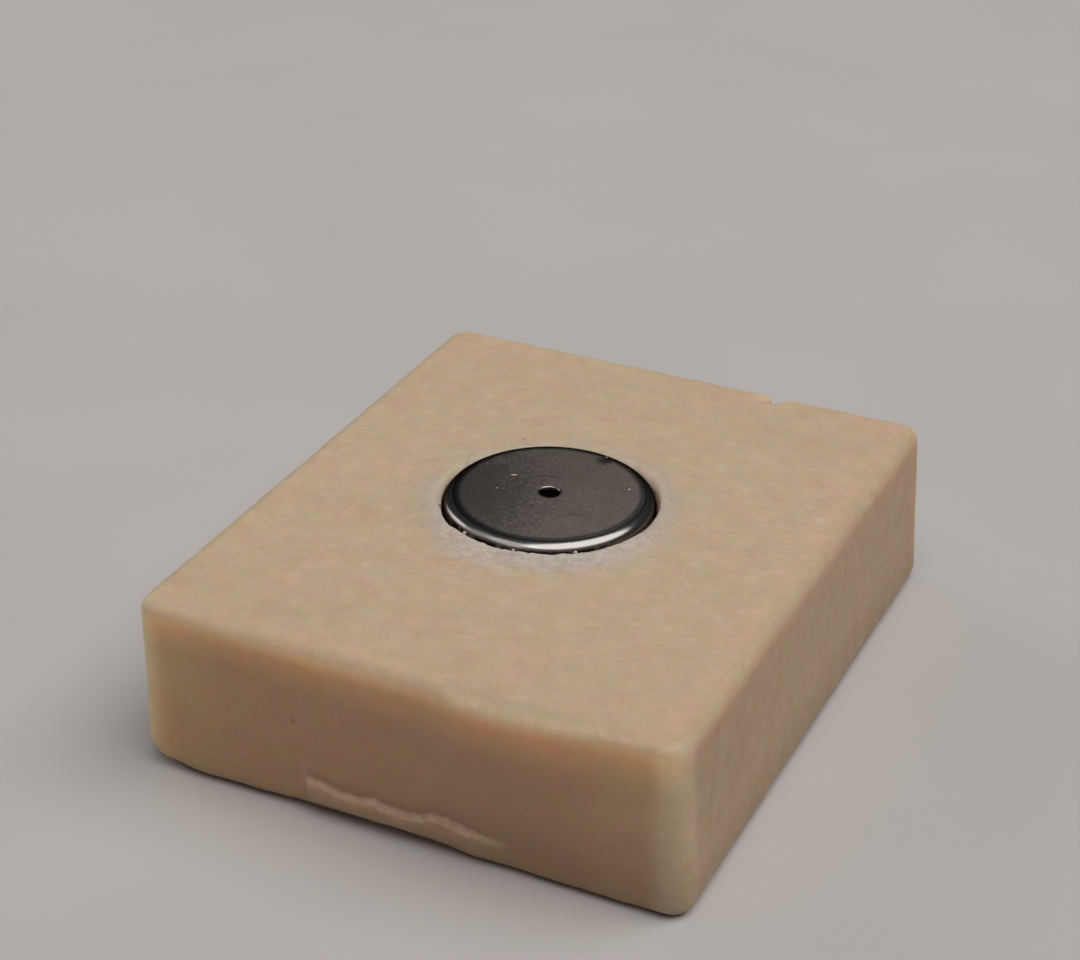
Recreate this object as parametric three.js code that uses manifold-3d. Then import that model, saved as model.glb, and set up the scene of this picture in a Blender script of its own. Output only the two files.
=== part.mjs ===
// A bar of soap with the steel cap of a magnetic soap holder pressed into its top.
// Millimetres, +Z up, the bar lying on its underside. The front face looks along -Y.
import * as THREE from "three";
import { mergeVertices } from "three/addons/utils/BufferGeometryUtils.js";
import Module from "manifold-3d";

// Steel cap: a flat disc drawn down into a skirt, pierced in the middle
const capDiameter = 26;
const capHeight = 7;
const sheetThickness = 0.5;
const shoulderRadius = 1.8;
const ventDiameter = 2.5;
const ventEdgeRadius = 0.25;
const toothCount = 24;
const toothDepth = 1.9;
const toothTipWidth = 0.35;
const gulletWidth = 0.3;

// Where the cap sits in the bar
const capAcross = -1.1;
const capAlong = 1.4;
const capStandsProud = 1.15;
const pressClearance = 0.3;
const airGap = 1.3;
const plugCrown = 0.35;

// Soap bar, cut by hand from a slab
const barWidth = 67.2;
const barDepth = 81.2;
const barHeight = 22;
const cornerRadius = 3;
const topEdgeRadius = 1.6;
const wornEdgeRadius = 2.8;
const footEdgeRadius = 2.2;
const wornFootRadius = 3.2;
const rightFaceLean = 1.3;
const frontSwell = 1.7;

// Soap pushed up round the cap
const lipHeight = 0.5;
const lipWidth = 3.2;
const lipRoot = 0.8;
const mouthGap = 0.8;
const mouthRaggedness = 0.12;
const mouthDepth = 1.1;

// Torn ledge along the foot of the front face
const ledgeHeight = 4.7;
const ledgeReach = 0.8;
const ledgeTread = 0.35;
const ledgeRoot = 1.6;
const ledgeFoot = 0.8;
const ledgeTuck = 1.3;

// Knocks: a chip out of the back edge and a pit in the front face
const chipLength = 4.4;
const chipDepth = 1.7;
const pitDiameter = 0.9;
const pitDepth = 0.35;

// Shares of the bar's width, measured from its middle
const swellShares = { start: 0.045, full: 0.13, fade: 0.2, end: 0.44 };
const wornShares = { start: -0.46, full: -0.1, fade: 0.04, end: 0.12 };
const ledgeShares = { start: -0.18, end: 0.24 };
const chipShare = 0.223;
const pitShare = -0.19;
const pitHeightShare = 0.545;
const swellFadeShare = 0.9;

// Where the slit gapes round the cap, in degrees anticlockwise from the bar's width, and how far each gape spreads
const gapeTurns = [30, 220];
const gapeSpread = 32;

// How far a cutting tool runs past the face it cuts
const overrun = 1;

// Facets
const turnSteps = 72;
const arcSteps = 7;
const cornerSteps = 6;
const sideSteps = 30;
const edgeSteps = 5;
const ledgeSteps = 26;

const capRadius = capDiameter / 2;
const skirtDepth = capHeight - capStandsProud;
const quarterTurn = Math.PI / 2;
const fullTurn = Math.PI * 2;

const wasm = await Module();
wasm.setup();

function toSolid(geometry) {
  const bare = geometry.clone();
  bare.deleteAttribute("normal");
  bare.deleteAttribute("uv");
  const welded = mergeVertices(bare);
  return new wasm.Manifold(
    new wasm.Mesh({
      numProp: 3,
      vertProperties: new Float32Array(welded.attributes.position.array),
      triVerts: new Uint32Array(welded.index.array),
    }),
  );
}

function toGeometry(solid) {
  const mesh = solid.getMesh();
  const geometry = new THREE.BufferGeometry();
  geometry.setAttribute("position", new THREE.BufferAttribute(mesh.vertProperties, mesh.numProp));
  geometry.setIndex(new THREE.BufferAttribute(mesh.triVerts, 1));
  const faceted = geometry.toNonIndexed();
  faceted.computeVertexNormals();
  return faceted;
}

// 0 below from, 1 above to, with a smooth rise between
function ramp(value, from, to) {
  return THREE.MathUtils.smoothstep(value, from, to);
}

// An uneven line from -1 to 1, for edges that were torn or squeezed rather than machined
function uneven(turn, waves) {
  const sum = waves.reduce((total, wave, i) => total + Math.sin(wave * turn + i * wave), 0);
  return sum / waves.length;
}

function arcPoints(centreAcross, centreUp, radius, from, to, steps) {
  return Array.from({ length: steps + 1 }, (_, i) => {
    const angle = from + ((to - from) * i) / steps;
    return new THREE.Vector2(
      centreAcross + radius * Math.cos(angle),
      centreUp + radius * Math.sin(angle),
    );
  });
}

// Joins rings of equal length into one surface; each ring runs anticlockwise seen from its far side
function skin(rings, closeRings) {
  const count = rings[0].length;
  const positions = rings.flat().flatMap((point) => point.toArray());
  const index = [];
  const ringPairs = closeRings ? rings.length : rings.length - 1;
  for (let k = 0; k < ringPairs; k += 1) {
    const next = (k + 1) % rings.length;
    for (let i = 0; i < count; i += 1) {
      const j = (i + 1) % count;
      const a = k * count + i;
      const b = k * count + j;
      const c = next * count + j;
      const d = next * count + i;
      index.push(a, b, c, a, c, d);
    }
  }
  return { positions, index, count };
}

function surface(positions, index) {
  const geometry = new THREE.BufferGeometry();
  geometry.setAttribute("position", new THREE.Float32BufferAttribute(positions, 3));
  geometry.setIndex(index);
  return geometry;
}

// Closes the first and last ring of a skin with a fan from the ring's middle
function cappedSkin(rings) {
  const { positions, index, count } = skin(rings, false);
  const ends = [rings[0], rings[rings.length - 1]];
  ends.forEach((ring, end) => {
    const middle = ring
      .reduce((sum, point) => sum.add(point), new THREE.Vector3())
      .divideScalar(ring.length);
    const hub = positions.length / 3;
    positions.push(...middle.toArray());
    const base = end * (rings.length - 1) * count;
    for (let i = 0; i < count; i += 1) {
      const j = (i + 1) % count;
      if (end) index.push(hub, base + i, base + j);
      else index.push(hub, base + j, base + i);
    }
  });
  return surface(positions, index);
}

// A turned form whose section, a closed loop of [radius, height], changes with the angle
function unevenTurning(sectionAt) {
  const loops = Array.from({ length: turnSteps }, (_, i) => {
    const turn = (fullTurn * i) / turnSteps;
    const loop = sectionAt(turn).map(
      ([radius, up]) => new THREE.Vector3(radius * Math.cos(turn), radius * Math.sin(turn), up),
    );
    return loop.reverse();
  });
  const { positions, index } = skin(loops, true);
  return surface(positions, index);
}

// The drawn shell in section: under the disc, down inside the skirt, up outside, over the shoulder
function capSection() {
  const ventRadius = ventDiameter / 2;
  const bendAcross = capRadius - shoulderRadius;
  const bendUp = -shoulderRadius;
  const innerBend = shoulderRadius - sheetThickness;
  const rolledEdge = arcPoints(
    ventRadius + ventEdgeRadius,
    -ventEdgeRadius,
    ventEdgeRadius,
    quarterTurn,
    quarterTurn * 2,
    3,
  );
  const section = [
    new THREE.Vector2(ventRadius, -sheetThickness),
    ...arcPoints(bendAcross, bendUp, innerBend, quarterTurn, 0, arcSteps),
    new THREE.Vector2(capRadius - sheetThickness, -capHeight),
    new THREE.Vector2(capRadius, -capHeight),
    ...arcPoints(bendAcross, bendUp, shoulderRadius, 0, quarterTurn, arcSteps),
    ...rolledEdge,
  ];
  section.push(section[0].clone());
  return section;
}

// One gullet between two teeth, as a wedge that crosses the skirt at the given angle
function gullet(angle) {
  const toothPitch = (fullTurn * capRadius) / toothCount;
  const mouth = (toothPitch - toothTipWidth) / 2;
  const flare = ((mouth - gulletWidth / 2) * overrun) / toothDepth;
  const outline = new THREE.Shape();
  outline.moveTo(-mouth - flare, -overrun);
  outline.lineTo(mouth + flare, -overrun);
  outline.lineTo(gulletWidth / 2, toothDepth);
  outline.lineTo(-gulletWidth / 2, toothDepth);
  outline.closePath();
  const reach = sheetThickness + overrun * 2;
  const wedge = new THREE.ExtrudeGeometry(outline, { depth: reach, bevelEnabled: false });
  wedge.rotateX(quarterTurn);
  wedge.translate(0, capRadius + overrun, -capHeight);
  wedge.rotateZ(angle);
  return toSolid(wedge);
}

// Steel cap, with its top face at height zero on its own axis
function steelCap() {
  const shell = new THREE.LatheGeometry(capSection(), turnSteps);
  shell.rotateX(quarterTurn);
  let solid = toSolid(shell);
  for (let i = 0; i < toothCount; i += 1) {
    solid = solid.subtract(gullet((fullTurn * i) / toothCount));
  }
  return toGeometry(solid);
}

// Points round the bar's outline, anticlockwise from the front right corner, each with its outward direction
function outlineStations() {
  const across = barWidth / 2 - cornerRadius;
  const along = barDepth / 2 - cornerRadius;
  const corners = [
    [across, -along],
    [across, along],
    [-across, along],
    [-across, -along],
  ];
  const arcs = corners.map(([x, y], c) =>
    Array.from({ length: cornerSteps + 1 }, (_, i) => {
      const angle = quarterTurn * (c - 1 + i / cornerSteps);
      const out = new THREE.Vector2(Math.cos(angle), Math.sin(angle));
      return { at: new THREE.Vector2(x, y).addScaledVector(out, cornerRadius), out };
    }),
  );
  return arcs.flatMap((arc, c) => {
    const last = arc[arc.length - 1];
    const first = arcs[(c + 1) % arcs.length][0];
    const side = Array.from({ length: sideSteps - 1 }, (_, i) => ({
      at: last.at.clone().lerp(first.at, (i + 1) / sideSteps),
      out: last.out,
    }));
    return [...arc, ...side];
  });
}

// 1 between two places along the bar's width, falling away smoothly to 0 on both sides of them
function stretch(x, shares) {
  const share = x / barWidth;
  return ramp(share, shares.start, shares.full) * (1 - ramp(share, shares.fade, shares.end));
}

// 1 on the front face, falling away to 0 well before the middle of the bar
function frontness(y) {
  return THREE.MathUtils.clamp(-y / (barDepth / 2), 0, 1) ** 6;
}

// Carries a point of a square-cut bar to where the knife left it
function handCut(x, y, z) {
  const heightShare = z / barHeight;
  const rightness = x / barWidth + 1 / 2;
  const swell = frontSwell * stretch(x, swellShares) * frontness(y) * ramp(heightShare, 0, swellFadeShare);
  return new THREE.Vector3(x + rightFaceLean * (1 - heightShare) * rightness, y - swell, z);
}

// The bar as rings of points from its foot up: round under the foot, straight up the side, round over the top edge.
// Handling has worn the left part of the front's top edge and the foot below it rounder than the rest.
function soapBlock() {
  const stations = outlineStations();
  const bend = (from) =>
    Array.from({ length: edgeSteps + 1 }, (_, i) => from + (quarterTurn * i) / edgeSteps);
  const ringAt = (angle, sharp, worn, centreOf) =>
    stations.map(({ at, out }) => {
      const wear = stretch(at.x, wornShares) * frontness(at.y);
      const radius = THREE.MathUtils.lerp(sharp, worn, wear);
      const inset = radius * (1 - Math.cos(angle));
      return handCut(
        at.x - out.x * inset,
        at.y - out.y * inset,
        centreOf(radius) + radius * Math.sin(angle),
      );
    });
  const rings = [
    ...bend(-quarterTurn).map((angle) =>
      ringAt(angle, footEdgeRadius, wornFootRadius, (radius) => radius),
    ),
    ...bend(0).map((angle) =>
      ringAt(angle, topEdgeRadius, wornEdgeRadius, (radius) => barHeight - radius),
    ),
  ];
  return toSolid(cappedSkin(rings));
}

// The ridge of soap squeezed up outside the cap, highest near the steel and dying away outwards
function pressedLip() {
  const inner = capRadius + pressClearance;
  return unevenTurning((turn) => {
    const height = lipHeight * (1 + 0.35 * uneven(turn, [2, 5, 9, 13]));
    const width = lipWidth * (1 + 0.4 * uneven(turn, [2, 3, 7]));
    return [
      [inner, -lipRoot],
      [inner + width, -lipRoot],
      [inner + width, 0],
      [inner + width * 0.62, height * 0.42],
      [inner + width * 0.34, height],
      [inner + width * 0.12, height * 0.86],
      [inner, height * 0.5],
    ];
  });
}

// How far the slit's outer wall has broken back at its mouth, at an angle round the cap
function mouthAt(turn) {
  const gape = gapeTurns.reduce((widest, degrees) => {
    const away = Math.cos(turn - THREE.MathUtils.degToRad(degrees));
    return Math.max(widest, ramp(away, Math.cos(THREE.MathUtils.degToRad(gapeSpread)), 1));
  }, 0);
  return mouthGap * gape + mouthRaggedness * (1 + uneven(turn, [4, 7, 11]));
}

// The space the cap takes up in the bar: the slit its skirt cut, and the hollow over the plug inside it
function pressedSlit() {
  const slitInner = capRadius - sheetThickness - pressClearance;
  const slitOuter = capRadius + pressClearance;
  const slitFoot = -skirtDepth - pressClearance;
  const plugRim = capStandsProud - sheetThickness - airGap;
  const rim = lipHeight + overrun;
  const slit = unevenTurning((turn) => {
    const mouth = mouthAt(turn);
    return [
      [slitInner, slitFoot],
      [slitOuter, slitFoot],
      [slitOuter, -mouthDepth],
      [slitOuter + mouth, lipHeight],
      [slitOuter + mouth, rim],
      [slitInner, rim],
    ];
  });
  const hollow = new THREE.LatheGeometry(
    [
      new THREE.Vector2(0, plugRim + plugCrown),
      new THREE.Vector2(slitInner / 2, plugRim + plugCrown * 0.75),
      new THREE.Vector2(slitInner, plugRim),
      new THREE.Vector2(slitInner + sheetThickness, plugRim),
      new THREE.Vector2(slitInner + sheetThickness, rim),
      new THREE.Vector2(0, rim),
    ],
    turnSteps,
  );
  hollow.rotateX(quarterTurn);
  return toSolid(slit).add(toSolid(hollow));
}

// The ledge left where the foot of the bar tore away from the slab: ragged on top, tucked back under to the
// rounded foot, and dying out at its right end
function tornLedge() {
  const from = ledgeShares.start * barWidth;
  const span = (ledgeShares.end - ledgeShares.start) * barWidth;
  const face = -barDepth / 2;
  const rings = Array.from({ length: ledgeSteps + 1 }, (_, i) => {
    const along = i / ledgeSteps;
    const x = from + span * along;
    const taper = ramp(along, 0, 0.05) * (1 - ramp(along, 0.72, 1));
    const ragged = uneven(along * fullTurn, [3, 7, 12]);
    const reach = ledgeReach * taper * (0.8 + 0.3 * ragged);
    const tread = ledgeHeight * (0.86 + 0.14 * taper + 0.12 * ragged * taper);
    const out = face - reach;
    return [
      [face + ledgeRoot, ledgeFoot],
      [face + ledgeRoot, tread - ledgeTread],
      [face, tread],
      [out + ledgeTread * taper, tread - ledgeTread * 0.5],
      [out, tread - ledgeTread * 2],
      [face - reach * 0.55, ledgeHeight * 0.5],
      [face + ledgeTread * 0.5, ledgeHeight * 0.3],
      [face + ledgeTuck, ledgeFoot],
    ].map(([y, z]) => new THREE.Vector3(x, y, z));
  });
  return toSolid(cappedSkin(rings));
}

function ballCut(across, along, up) {
  const ball = new THREE.SphereGeometry(1, 20, 14);
  ball.scale(across, along, up);
  return ball;
}

function edgeChip() {
  const chip = ballCut(chipLength / 2, chipDepth, chipDepth);
  chip.translate(chipShare * barWidth, barDepth / 2, barHeight);
  return toSolid(chip);
}

function facePit() {
  const pit = ballCut(pitDiameter / 2, pitDepth, pitDiameter / 2);
  pit.translate(pitShare * barWidth, -barDepth / 2, pitHeightShare * barHeight);
  return toSolid(pit);
}

function soapBar() {
  const press = new THREE.Vector3(capAcross, capAlong, barHeight);
  const lip = toSolid(pressedLip()).translate(press.toArray());
  const slit = pressedSlit().translate(press.toArray());
  const solid = soapBlock()
    .add(lip)
    .add(tornLedge())
    .subtract(slit)
    .subtract(edgeChip())
    .subtract(facePit());
  return toGeometry(solid);
}

const soap = new THREE.MeshStandardMaterial({ color: 0xb9a087, roughness: 0.6, metalness: 0 });
const steel = new THREE.MeshStandardMaterial({ color: 0x57534f, roughness: 0.32, metalness: 1 });

const barMesh = new THREE.Mesh(soapBar(), soap);
barMesh.name = "soap_bar";

const capMesh = new THREE.Mesh(steelCap(), steel);
capMesh.name = "steel_cap";
capMesh.position.set(capAcross, capAlong, barHeight + capStandsProud);

// The origin lies under the middle of the outline, on the surface that the bar rests on
const holder = new THREE.Group();
holder.add(barMesh, capMesh);
const outline = new THREE.Box3().setFromObject(holder);
const middle = outline.getCenter(new THREE.Vector3());
holder.position.set(-middle.x, -middle.y, -outline.min.z);

export default holder;
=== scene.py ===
"""A hand-cut bar of soap with the steel cap of a magnetic soap holder pressed into its top.

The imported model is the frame. Every piece is built round it in metres, +Z up, front face towards -Y.
"""

import math
import random

import bmesh
import bpy
import numpy as np
from mathutils import Matrix, Quaternion, Vector, noise
from mathutils.bvhtree import BVHTree


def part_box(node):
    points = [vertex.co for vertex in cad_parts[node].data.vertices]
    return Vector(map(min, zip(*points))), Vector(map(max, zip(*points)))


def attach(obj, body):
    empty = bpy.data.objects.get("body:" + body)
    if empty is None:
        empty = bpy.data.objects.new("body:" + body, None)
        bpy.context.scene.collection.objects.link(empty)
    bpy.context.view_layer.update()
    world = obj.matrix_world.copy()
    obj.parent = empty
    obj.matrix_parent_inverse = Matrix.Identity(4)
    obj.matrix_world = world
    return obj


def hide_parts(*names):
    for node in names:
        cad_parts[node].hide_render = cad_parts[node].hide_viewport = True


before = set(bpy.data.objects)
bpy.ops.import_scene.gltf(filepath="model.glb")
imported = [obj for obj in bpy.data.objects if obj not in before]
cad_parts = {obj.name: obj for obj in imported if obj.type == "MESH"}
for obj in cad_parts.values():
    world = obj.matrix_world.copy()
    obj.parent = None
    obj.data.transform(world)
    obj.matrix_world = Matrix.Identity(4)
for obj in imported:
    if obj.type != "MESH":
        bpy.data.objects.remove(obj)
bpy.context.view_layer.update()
bar_low, bar_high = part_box("soap_bar")
cap_low, cap_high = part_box("steel_cap")
cap_middle = (cap_low + cap_high) / 2

bl_info = {
    "name": "Magnetic soap holder",
    "version": (1, 0, 0),
    "blender": (4, 5, 0),
    "location": "View3D > Sidebar > Soap holder",
    "description": "Builds a hand-cut bar of soap with a toothed steel cap pressed into its top",
    "category": "Add Mesh",
}

MM = 0.001
QUARTER = math.pi / 2
FULL = math.pi * 2


# Settings that a user would change


def length(name, description, default):
    return bpy.props.FloatProperty(
        name=name,
        description=description,
        default=default,
        min=0.0,
        precision=5,
        subtype="DISTANCE",
        unit="LENGTH",
    )


def colour(name, description, default):
    return bpy.props.FloatVectorProperty(
        name=name,
        description=description,
        default=default,
        size=3,
        min=0.0,
        max=1.0,
        subtype="COLOR",
    )


def number(name, description, default):
    return bpy.props.IntProperty(name=name, description=description, default=default, min=1)


class SoapBarSettings(bpy.types.PropertyGroup):
    width: length("Width", "Bar across its front face, before the right face's lean", 67.2 * MM)
    depth: length("Depth", "Bar from front to back, before the front's swell", 81.2 * MM)
    height: length("Height", "Bar from its underside to its top face", 22 * MM)
    corner_radius: length("Corner radius", "Rounding of the four upright corners", 3 * MM)
    top_edge_radius: length("Top edge radius", "Rounding of the top edge where it is still sharp", 1.6 * MM)
    worn_edge_radius: length("Worn edge radius", "Rounding where the front's top edge is handled", 2.8 * MM)
    foot_edge_radius: length("Foot edge radius", "Rounding of the lower edge", 2.2 * MM)
    worn_foot_radius: length("Worn foot radius", "Rounding of the foot below the worn edge", 3.2 * MM)
    right_face_lean: length("Right face lean", "How far the foot of the right face stands out", 1.3 * MM)
    front_swell: length("Front swell", "How far the top of the front face bulges", 1.7 * MM)
    lip_height: length("Lip height", "Mean height of the soap pushed up round the cap", 0.5 * MM)
    lip_width: length("Lip width", "Mean width of the pushed-up lip", 3.2 * MM)
    clearance: length("Clearance", "Space between the skirt and the soap", 0.3 * MM)
    mouth_gap: length("Mouth gap", "How far the slit gapes beside the cap", 0.8 * MM)
    ledge_height: length("Ledge height", "Top of the torn ledge along the foot", 4.7 * MM)
    ledge_reach: length("Ledge reach", "How far the torn ledge stands out", 0.8 * MM)
    chip_length: length("Chip length", "Length of the chip in the back edge", 4.4 * MM)
    chip_depth: length("Chip depth", "Depth of the chip in the back edge", 1.7 * MM)
    pit_diameter: length("Pit diameter", "Width of the pit in the front face", 0.9 * MM)
    pit_depth: length("Pit depth", "Depth of the pit in the front face", 0.35 * MM)
    soap_colour: colour("Soap", "Colour of the freshly cut soap", (0.447, 0.28, 0.174))
    dried_colour: colour("Dried soap", "Colour of the dried faces", (0.518, 0.391, 0.277))
    crumb_colour: colour("Crumbs", "Colour of the loose crumbs", (0.47, 0.4, 0.315))
    # Painted shade: the flakes are a darker copy of the crumbs' colour, for the shade over the front's
    # ledge
    shaded_flake_colour: colour("Flakes", "Colour of the flakes torn up on the ledge", (0.3, 0.225, 0.165))
    # Stain and painted shade: the slit's walls and the plug under the hole are painted this dark
    stain_and_shade_colour: colour("Stained soap", "Colour where the steel stained it", (0.085, 0.05, 0.03))
    mottle_size: length("Mottle size", "Size of the cloudy patches", 4.5 * MM)
    glow_depth: length("Glow depth", "How far light wanders inside the soap", 9 * MM)


class SteelCapSettings(bpy.types.PropertyGroup):
    diameter: length("Diameter", "Outside of the skirt", cap_high.x - cap_low.x)
    height: length("Height", "Whole height with the teeth", cap_high.z - cap_low.z)
    sheet: length("Sheet", "Thickness of the steel sheet", 0.5 * MM)
    shoulder_radius: length("Shoulder radius", "Outer radius of the bend over the rim", 1.8 * MM)
    vent_diameter: length("Vent diameter", "Clear width of the hole in the middle", 2.5 * MM)
    vent_edge_radius: length("Vent edge radius", "Rounding of the hole's edge", 0.25 * MM)
    tooth_count: number("Teeth", "Pointed teeth round the foot of the skirt", 24)
    tooth_depth: length("Tooth depth", "Height of the teeth", 1.9 * MM)
    tooth_tip_width: length("Tooth tip width", "Width of a tooth at its tip", 0.35 * MM)
    gullet_width: length("Gullet width", "Width of the gap between teeth at its top", 0.3 * MM)
    crown_drop: length("Crown drop", "How far the disc falls from its middle to the shoulder", 0.07 * MM)
    steel_colour: colour("Steel", "Colour of the rolled face", (0.235, 0.216, 0.199))
    burnished_colour: colour("Burnished steel", "Colour where the die rubbed it", (0.225, 0.213, 0.202))
    # Painted shade: the shoulder's lower part on the near side is painted this dark, for the dark gap it
    # reflects
    gap_shade_colour: colour("Soiled steel", "Colour where the soap marked it", (0.022, 0.013, 0.008))


class CrumbSettings(bpy.types.PropertyGroup):
    lip_crumbs: number("Lip crumbs", "Loose crumbs on the lip round the cap", 22)
    ledge_flakes: number("Ledge flakes", "Flakes along the torn ledge", 18)
    crumb_size: length("Crumb size", "Largest crumb on the lip", 0.55 * MM)
    flake_size: length("Flake size", "Largest flake on the ledge", 0.6 * MM)
    fleck_size: length("Fleck size", "Longest fleck on the cap", 0.85 * MM)


class StageSettings(bpy.types.PropertyGroup):
    floor_size: length("Floor size", "Side of the floor", 12.0)
    floor_colour: colour("Floor", "Colour of the floor", (0.475, 0.453, 0.437))
    key_reach: length("Key distance", "How far the oval softbox stands from the bar", 4.0)
    key_width: length("Key width", "Width of the oval softbox", 6.45)


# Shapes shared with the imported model


def ramp(value, start, end):
    """0 below start, 1 above end, with a smooth rise between."""
    part = np.clip((np.asarray(value) - start) / (end - start), 0.0, 1.0)
    return part * part * (3 - 2 * part)


def uneven(turn, waves):
    """An uneven line from -1 to 1, for edges that were torn or squeezed."""
    return sum(np.sin(wave * turn + i * wave) for i, wave in enumerate(waves)) / len(waves)


def rough(points, size, seed):
    """Cloudy noise from about -1 to 1 over an array of points, with lumps about size across."""
    flat = np.asarray(points, float).reshape(-1, 3) / size + 13.7 * seed
    values = [noise.noise(Vector(point)) for point in flat]
    return np.array(values).reshape(points.shape[:-1])


# Shares of the bar's width, measured from its middle
SWELL_SHARES = (0.045, 0.13, 0.2, 0.44)
WORN_SHARES = (-0.46, -0.1, 0.04, 0.12)
LEDGE_SHARES = (-0.18, 0.24)
CHIP_SHARE = 0.223
PIT_SHARE = -0.19
PIT_HEIGHT_SHARE = 0.545
SWELL_FADE_SHARE = 0.9
SWELL_SPREAD_SHARE = 0.09

# How far the slit gapes round the cap: degrees round its axis and shares of the mouth gap
MOUTH_LINE = (
    (-180, 0.0),
    (-150, 0.03),
    (-148, 0.55),
    (-145, 0.2),
    (-141, 0.35),
    (-133, 0.72),
    (-125, 0.88),
    (-119, 0.5),
    (-115, 0.06),
    (-64, 0.1),
    (-52, 0.24),
    (-22, 0.3),
    (-9, 0.42),
    (4, 0.46),
    (21, 0.42),
    (31, 0.26),
    (38, 0.05),
    (44, 0.0),
    (180, 0.0),
)

# The lip in section: shares of its width from the slit outwards, and shares of its height
LIP_OUTLINE = ((0.0, -0.5), (0.08, 0.3), (0.18, 0.8), (0.36, 1.0), (0.62, 0.42), (1.0, 0.0))


def stretch(x, width, shares):
    """1 between two places along the bar's width, falling away smoothly to 0 on both sides of them."""
    start, full, fade, end = shares
    part = x / width
    return ramp(part, start, full) * (1 - ramp(part, fade, end))


def along_line(x, line):
    """Height of a line drawn through points in millimetres."""
    places, heights = zip(*line)
    return np.interp(x, np.array(places) * MM, np.array(heights) * MM)


class BarShape:
    """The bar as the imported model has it, in metres from under its own middle."""

    def __init__(self, bar, cap):
        self.bar = bar
        self.shift = np.array([bar_low.x + bar.width / 2, bar_high.y - bar.depth / 2, bar_low.z])
        self.axis = np.array([cap_middle.x, cap_middle.y]) - self.shift[:2]
        self.slit_outer = cap.diameter / 2 + PRESSED_GAP
        self.slit_inner = cap.diameter / 2 - cap.sheet - bar.clearance
        self.slit_foot = cap_low.z - bar.clearance
        self.lip_limit = bar_high.z - bar.height

    def frontness(self, y):
        return np.clip(-y / (self.bar.depth / 2), 0.0, 1.0) ** 6

    def hand_cut(self, points):
        """Carries points of a square-cut bar to where the knife left them."""
        bar = self.bar
        x, y, z = points[..., 0], points[..., 1], points[..., 2]
        level = z / bar.height
        spread_out = SWELL_SPREAD_SHARE * (1 - level)
        start, full, fade, end = SWELL_SHARES
        shares = (start - spread_out, full + spread_out, fade + spread_out, end)
        swell = bar.front_swell * stretch(x, bar.width, shares) * self.frontness(y)
        swell = swell * ramp(level, 0, SWELL_FADE_SHARE)
        lean = bar.right_face_lean * (1 - level) * (x / bar.width + 0.5)
        return np.stack([x + lean, y - swell, z], axis=-1)

    def lip(self, turn, radius):
        """Height of the pushed-up lip over the bar's top."""
        height = self.bar.lip_height * (1 + LIP_HEIGHT_SWING * uneven(turn, LIP_HEIGHT_WAVES))
        height = height * (1 - FAR_LIP_LOSS * ramp(-np.cos(turn - NEAR_TURN), 0.1, 0.9))
        width = self.lip_width(turn)
        out = (radius - self.slit_outer) / width
        places, heights = zip(*LIP_OUTLINE)
        return height * np.interp(out, places, heights)

    def lip_width(self, turn):
        return self.bar.lip_width * (1 + LIP_WIDTH_SWING * uneven(turn, LIP_WIDTH_WAVES))

    def mouth(self, turn):
        """How far the slit's outer wall has broken back at its mouth."""
        turns, shares = zip(*MOUTH_LINE)
        gape = np.interp(np.degrees(turn), turns, shares)
        return self.bar.mouth_gap * gape + MOUTH_RAGGEDNESS * (1 + uneven(turn, MOUTH_WAVES))

    def ledge(self, x):
        """The torn ledge's reach at a place along the front, and the height of its ragged top."""
        start, end = np.array(LEDGE_SHARES) * self.bar.width
        taper = ramp(x, start + 0.6 * MM, start + 1.3 * MM) * (1 - ramp(x, end - 8 * MM, end))
        line = np.stack([x, np.zeros_like(x), np.zeros_like(x)], axis=-1)
        ragged = 0.24 * rough(line, 1.1 * MM, 31) + 0.16 * rough(line, 0.45 * MM, 32)
        reach = self.bar.ledge_reach * taper * (0.85 + 0.5 * ragged)
        top = along_line(x, LEDGE_LINE) * (self.bar.ledge_height / LEDGE_LINE_MIDDLE) + ragged * MM
        return np.clip(reach, 0, self.bar.ledge_reach * 1.1), top


# Round the cap: where most soap was squeezed up, and how much lower the lip is on the other side
NEAR_TURN = math.radians(-65)
FAR_LIP_LOSS = 0.65

# How many waves the lip and the slit's mouth have in one turn, and how far the lip swings about its mean
LIP_HEIGHT_WAVES = (2, 5, 9, 13)
LIP_WIDTH_WAVES = (2, 3, 7)
MOUTH_WAVES = (4, 7, 11)
LIP_HEIGHT_SWING = 0.35
LIP_WIDTH_SWING = 0.4

# The soap is pressed on to the skirt, and the slit's raggedness and depth show where it gapes
PRESSED_GAP = 0.06 * MM
MOUTH_RAGGEDNESS = 0.04 * MM
MOUTH_DEPTH = 1.1 * MM

# The plug of soap inside the cap: how far its rim lies below the cap's top, its crown and its broken edge
PLUG_DEPTH = 2.6 * MM
PLUG_CROWN = 0.35 * MM
PLUG_CHAMFER = 0.12 * MM

# Where the rings of the lip start outside it, against the lip's mean width
LIP_FOOT_SHARE = 1.42

# The torn ledge's ragged top, as places along the front and heights in millimetres, and its section
LEDGE_LINE = (
    (-12.1, 5.4),
    (-10.0, 5.0),
    (-7.4, 4.5),
    (-4.7, 4.4),
    (-2.5, 4.8),
    (-1.0, 4.2),
    (3.4, 4.6),
    (4.9, 5.2),
    (6.7, 5.1),
    (7.9, 4.8),
    (11.5, 4.3),
    (16.2, 4.1),
)
LEDGE_LINE_MIDDLE = 4.7 * MM
LEDGE_SECTION = ((0.28, 0.0), (0.5, 0.5), (0.78, 0.92), (0.91, 1.0), (1.0, 0.0))

# Thin streaks torn up beside that line, as places along the front and heights in millimetres
TORN_STREAKS = (
    ((-11.6, 6.1), (-11.3, 3.2)),
    ((-1.0, 4.4), (2.4, 2.3)),
    ((2.4, 2.3), (3.7, 2.2)),
)

# Steps along the outline before it is spaced out: round a corner and along a side
CORNER_STEPS = 24
SIDE_STEPS = 400

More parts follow.
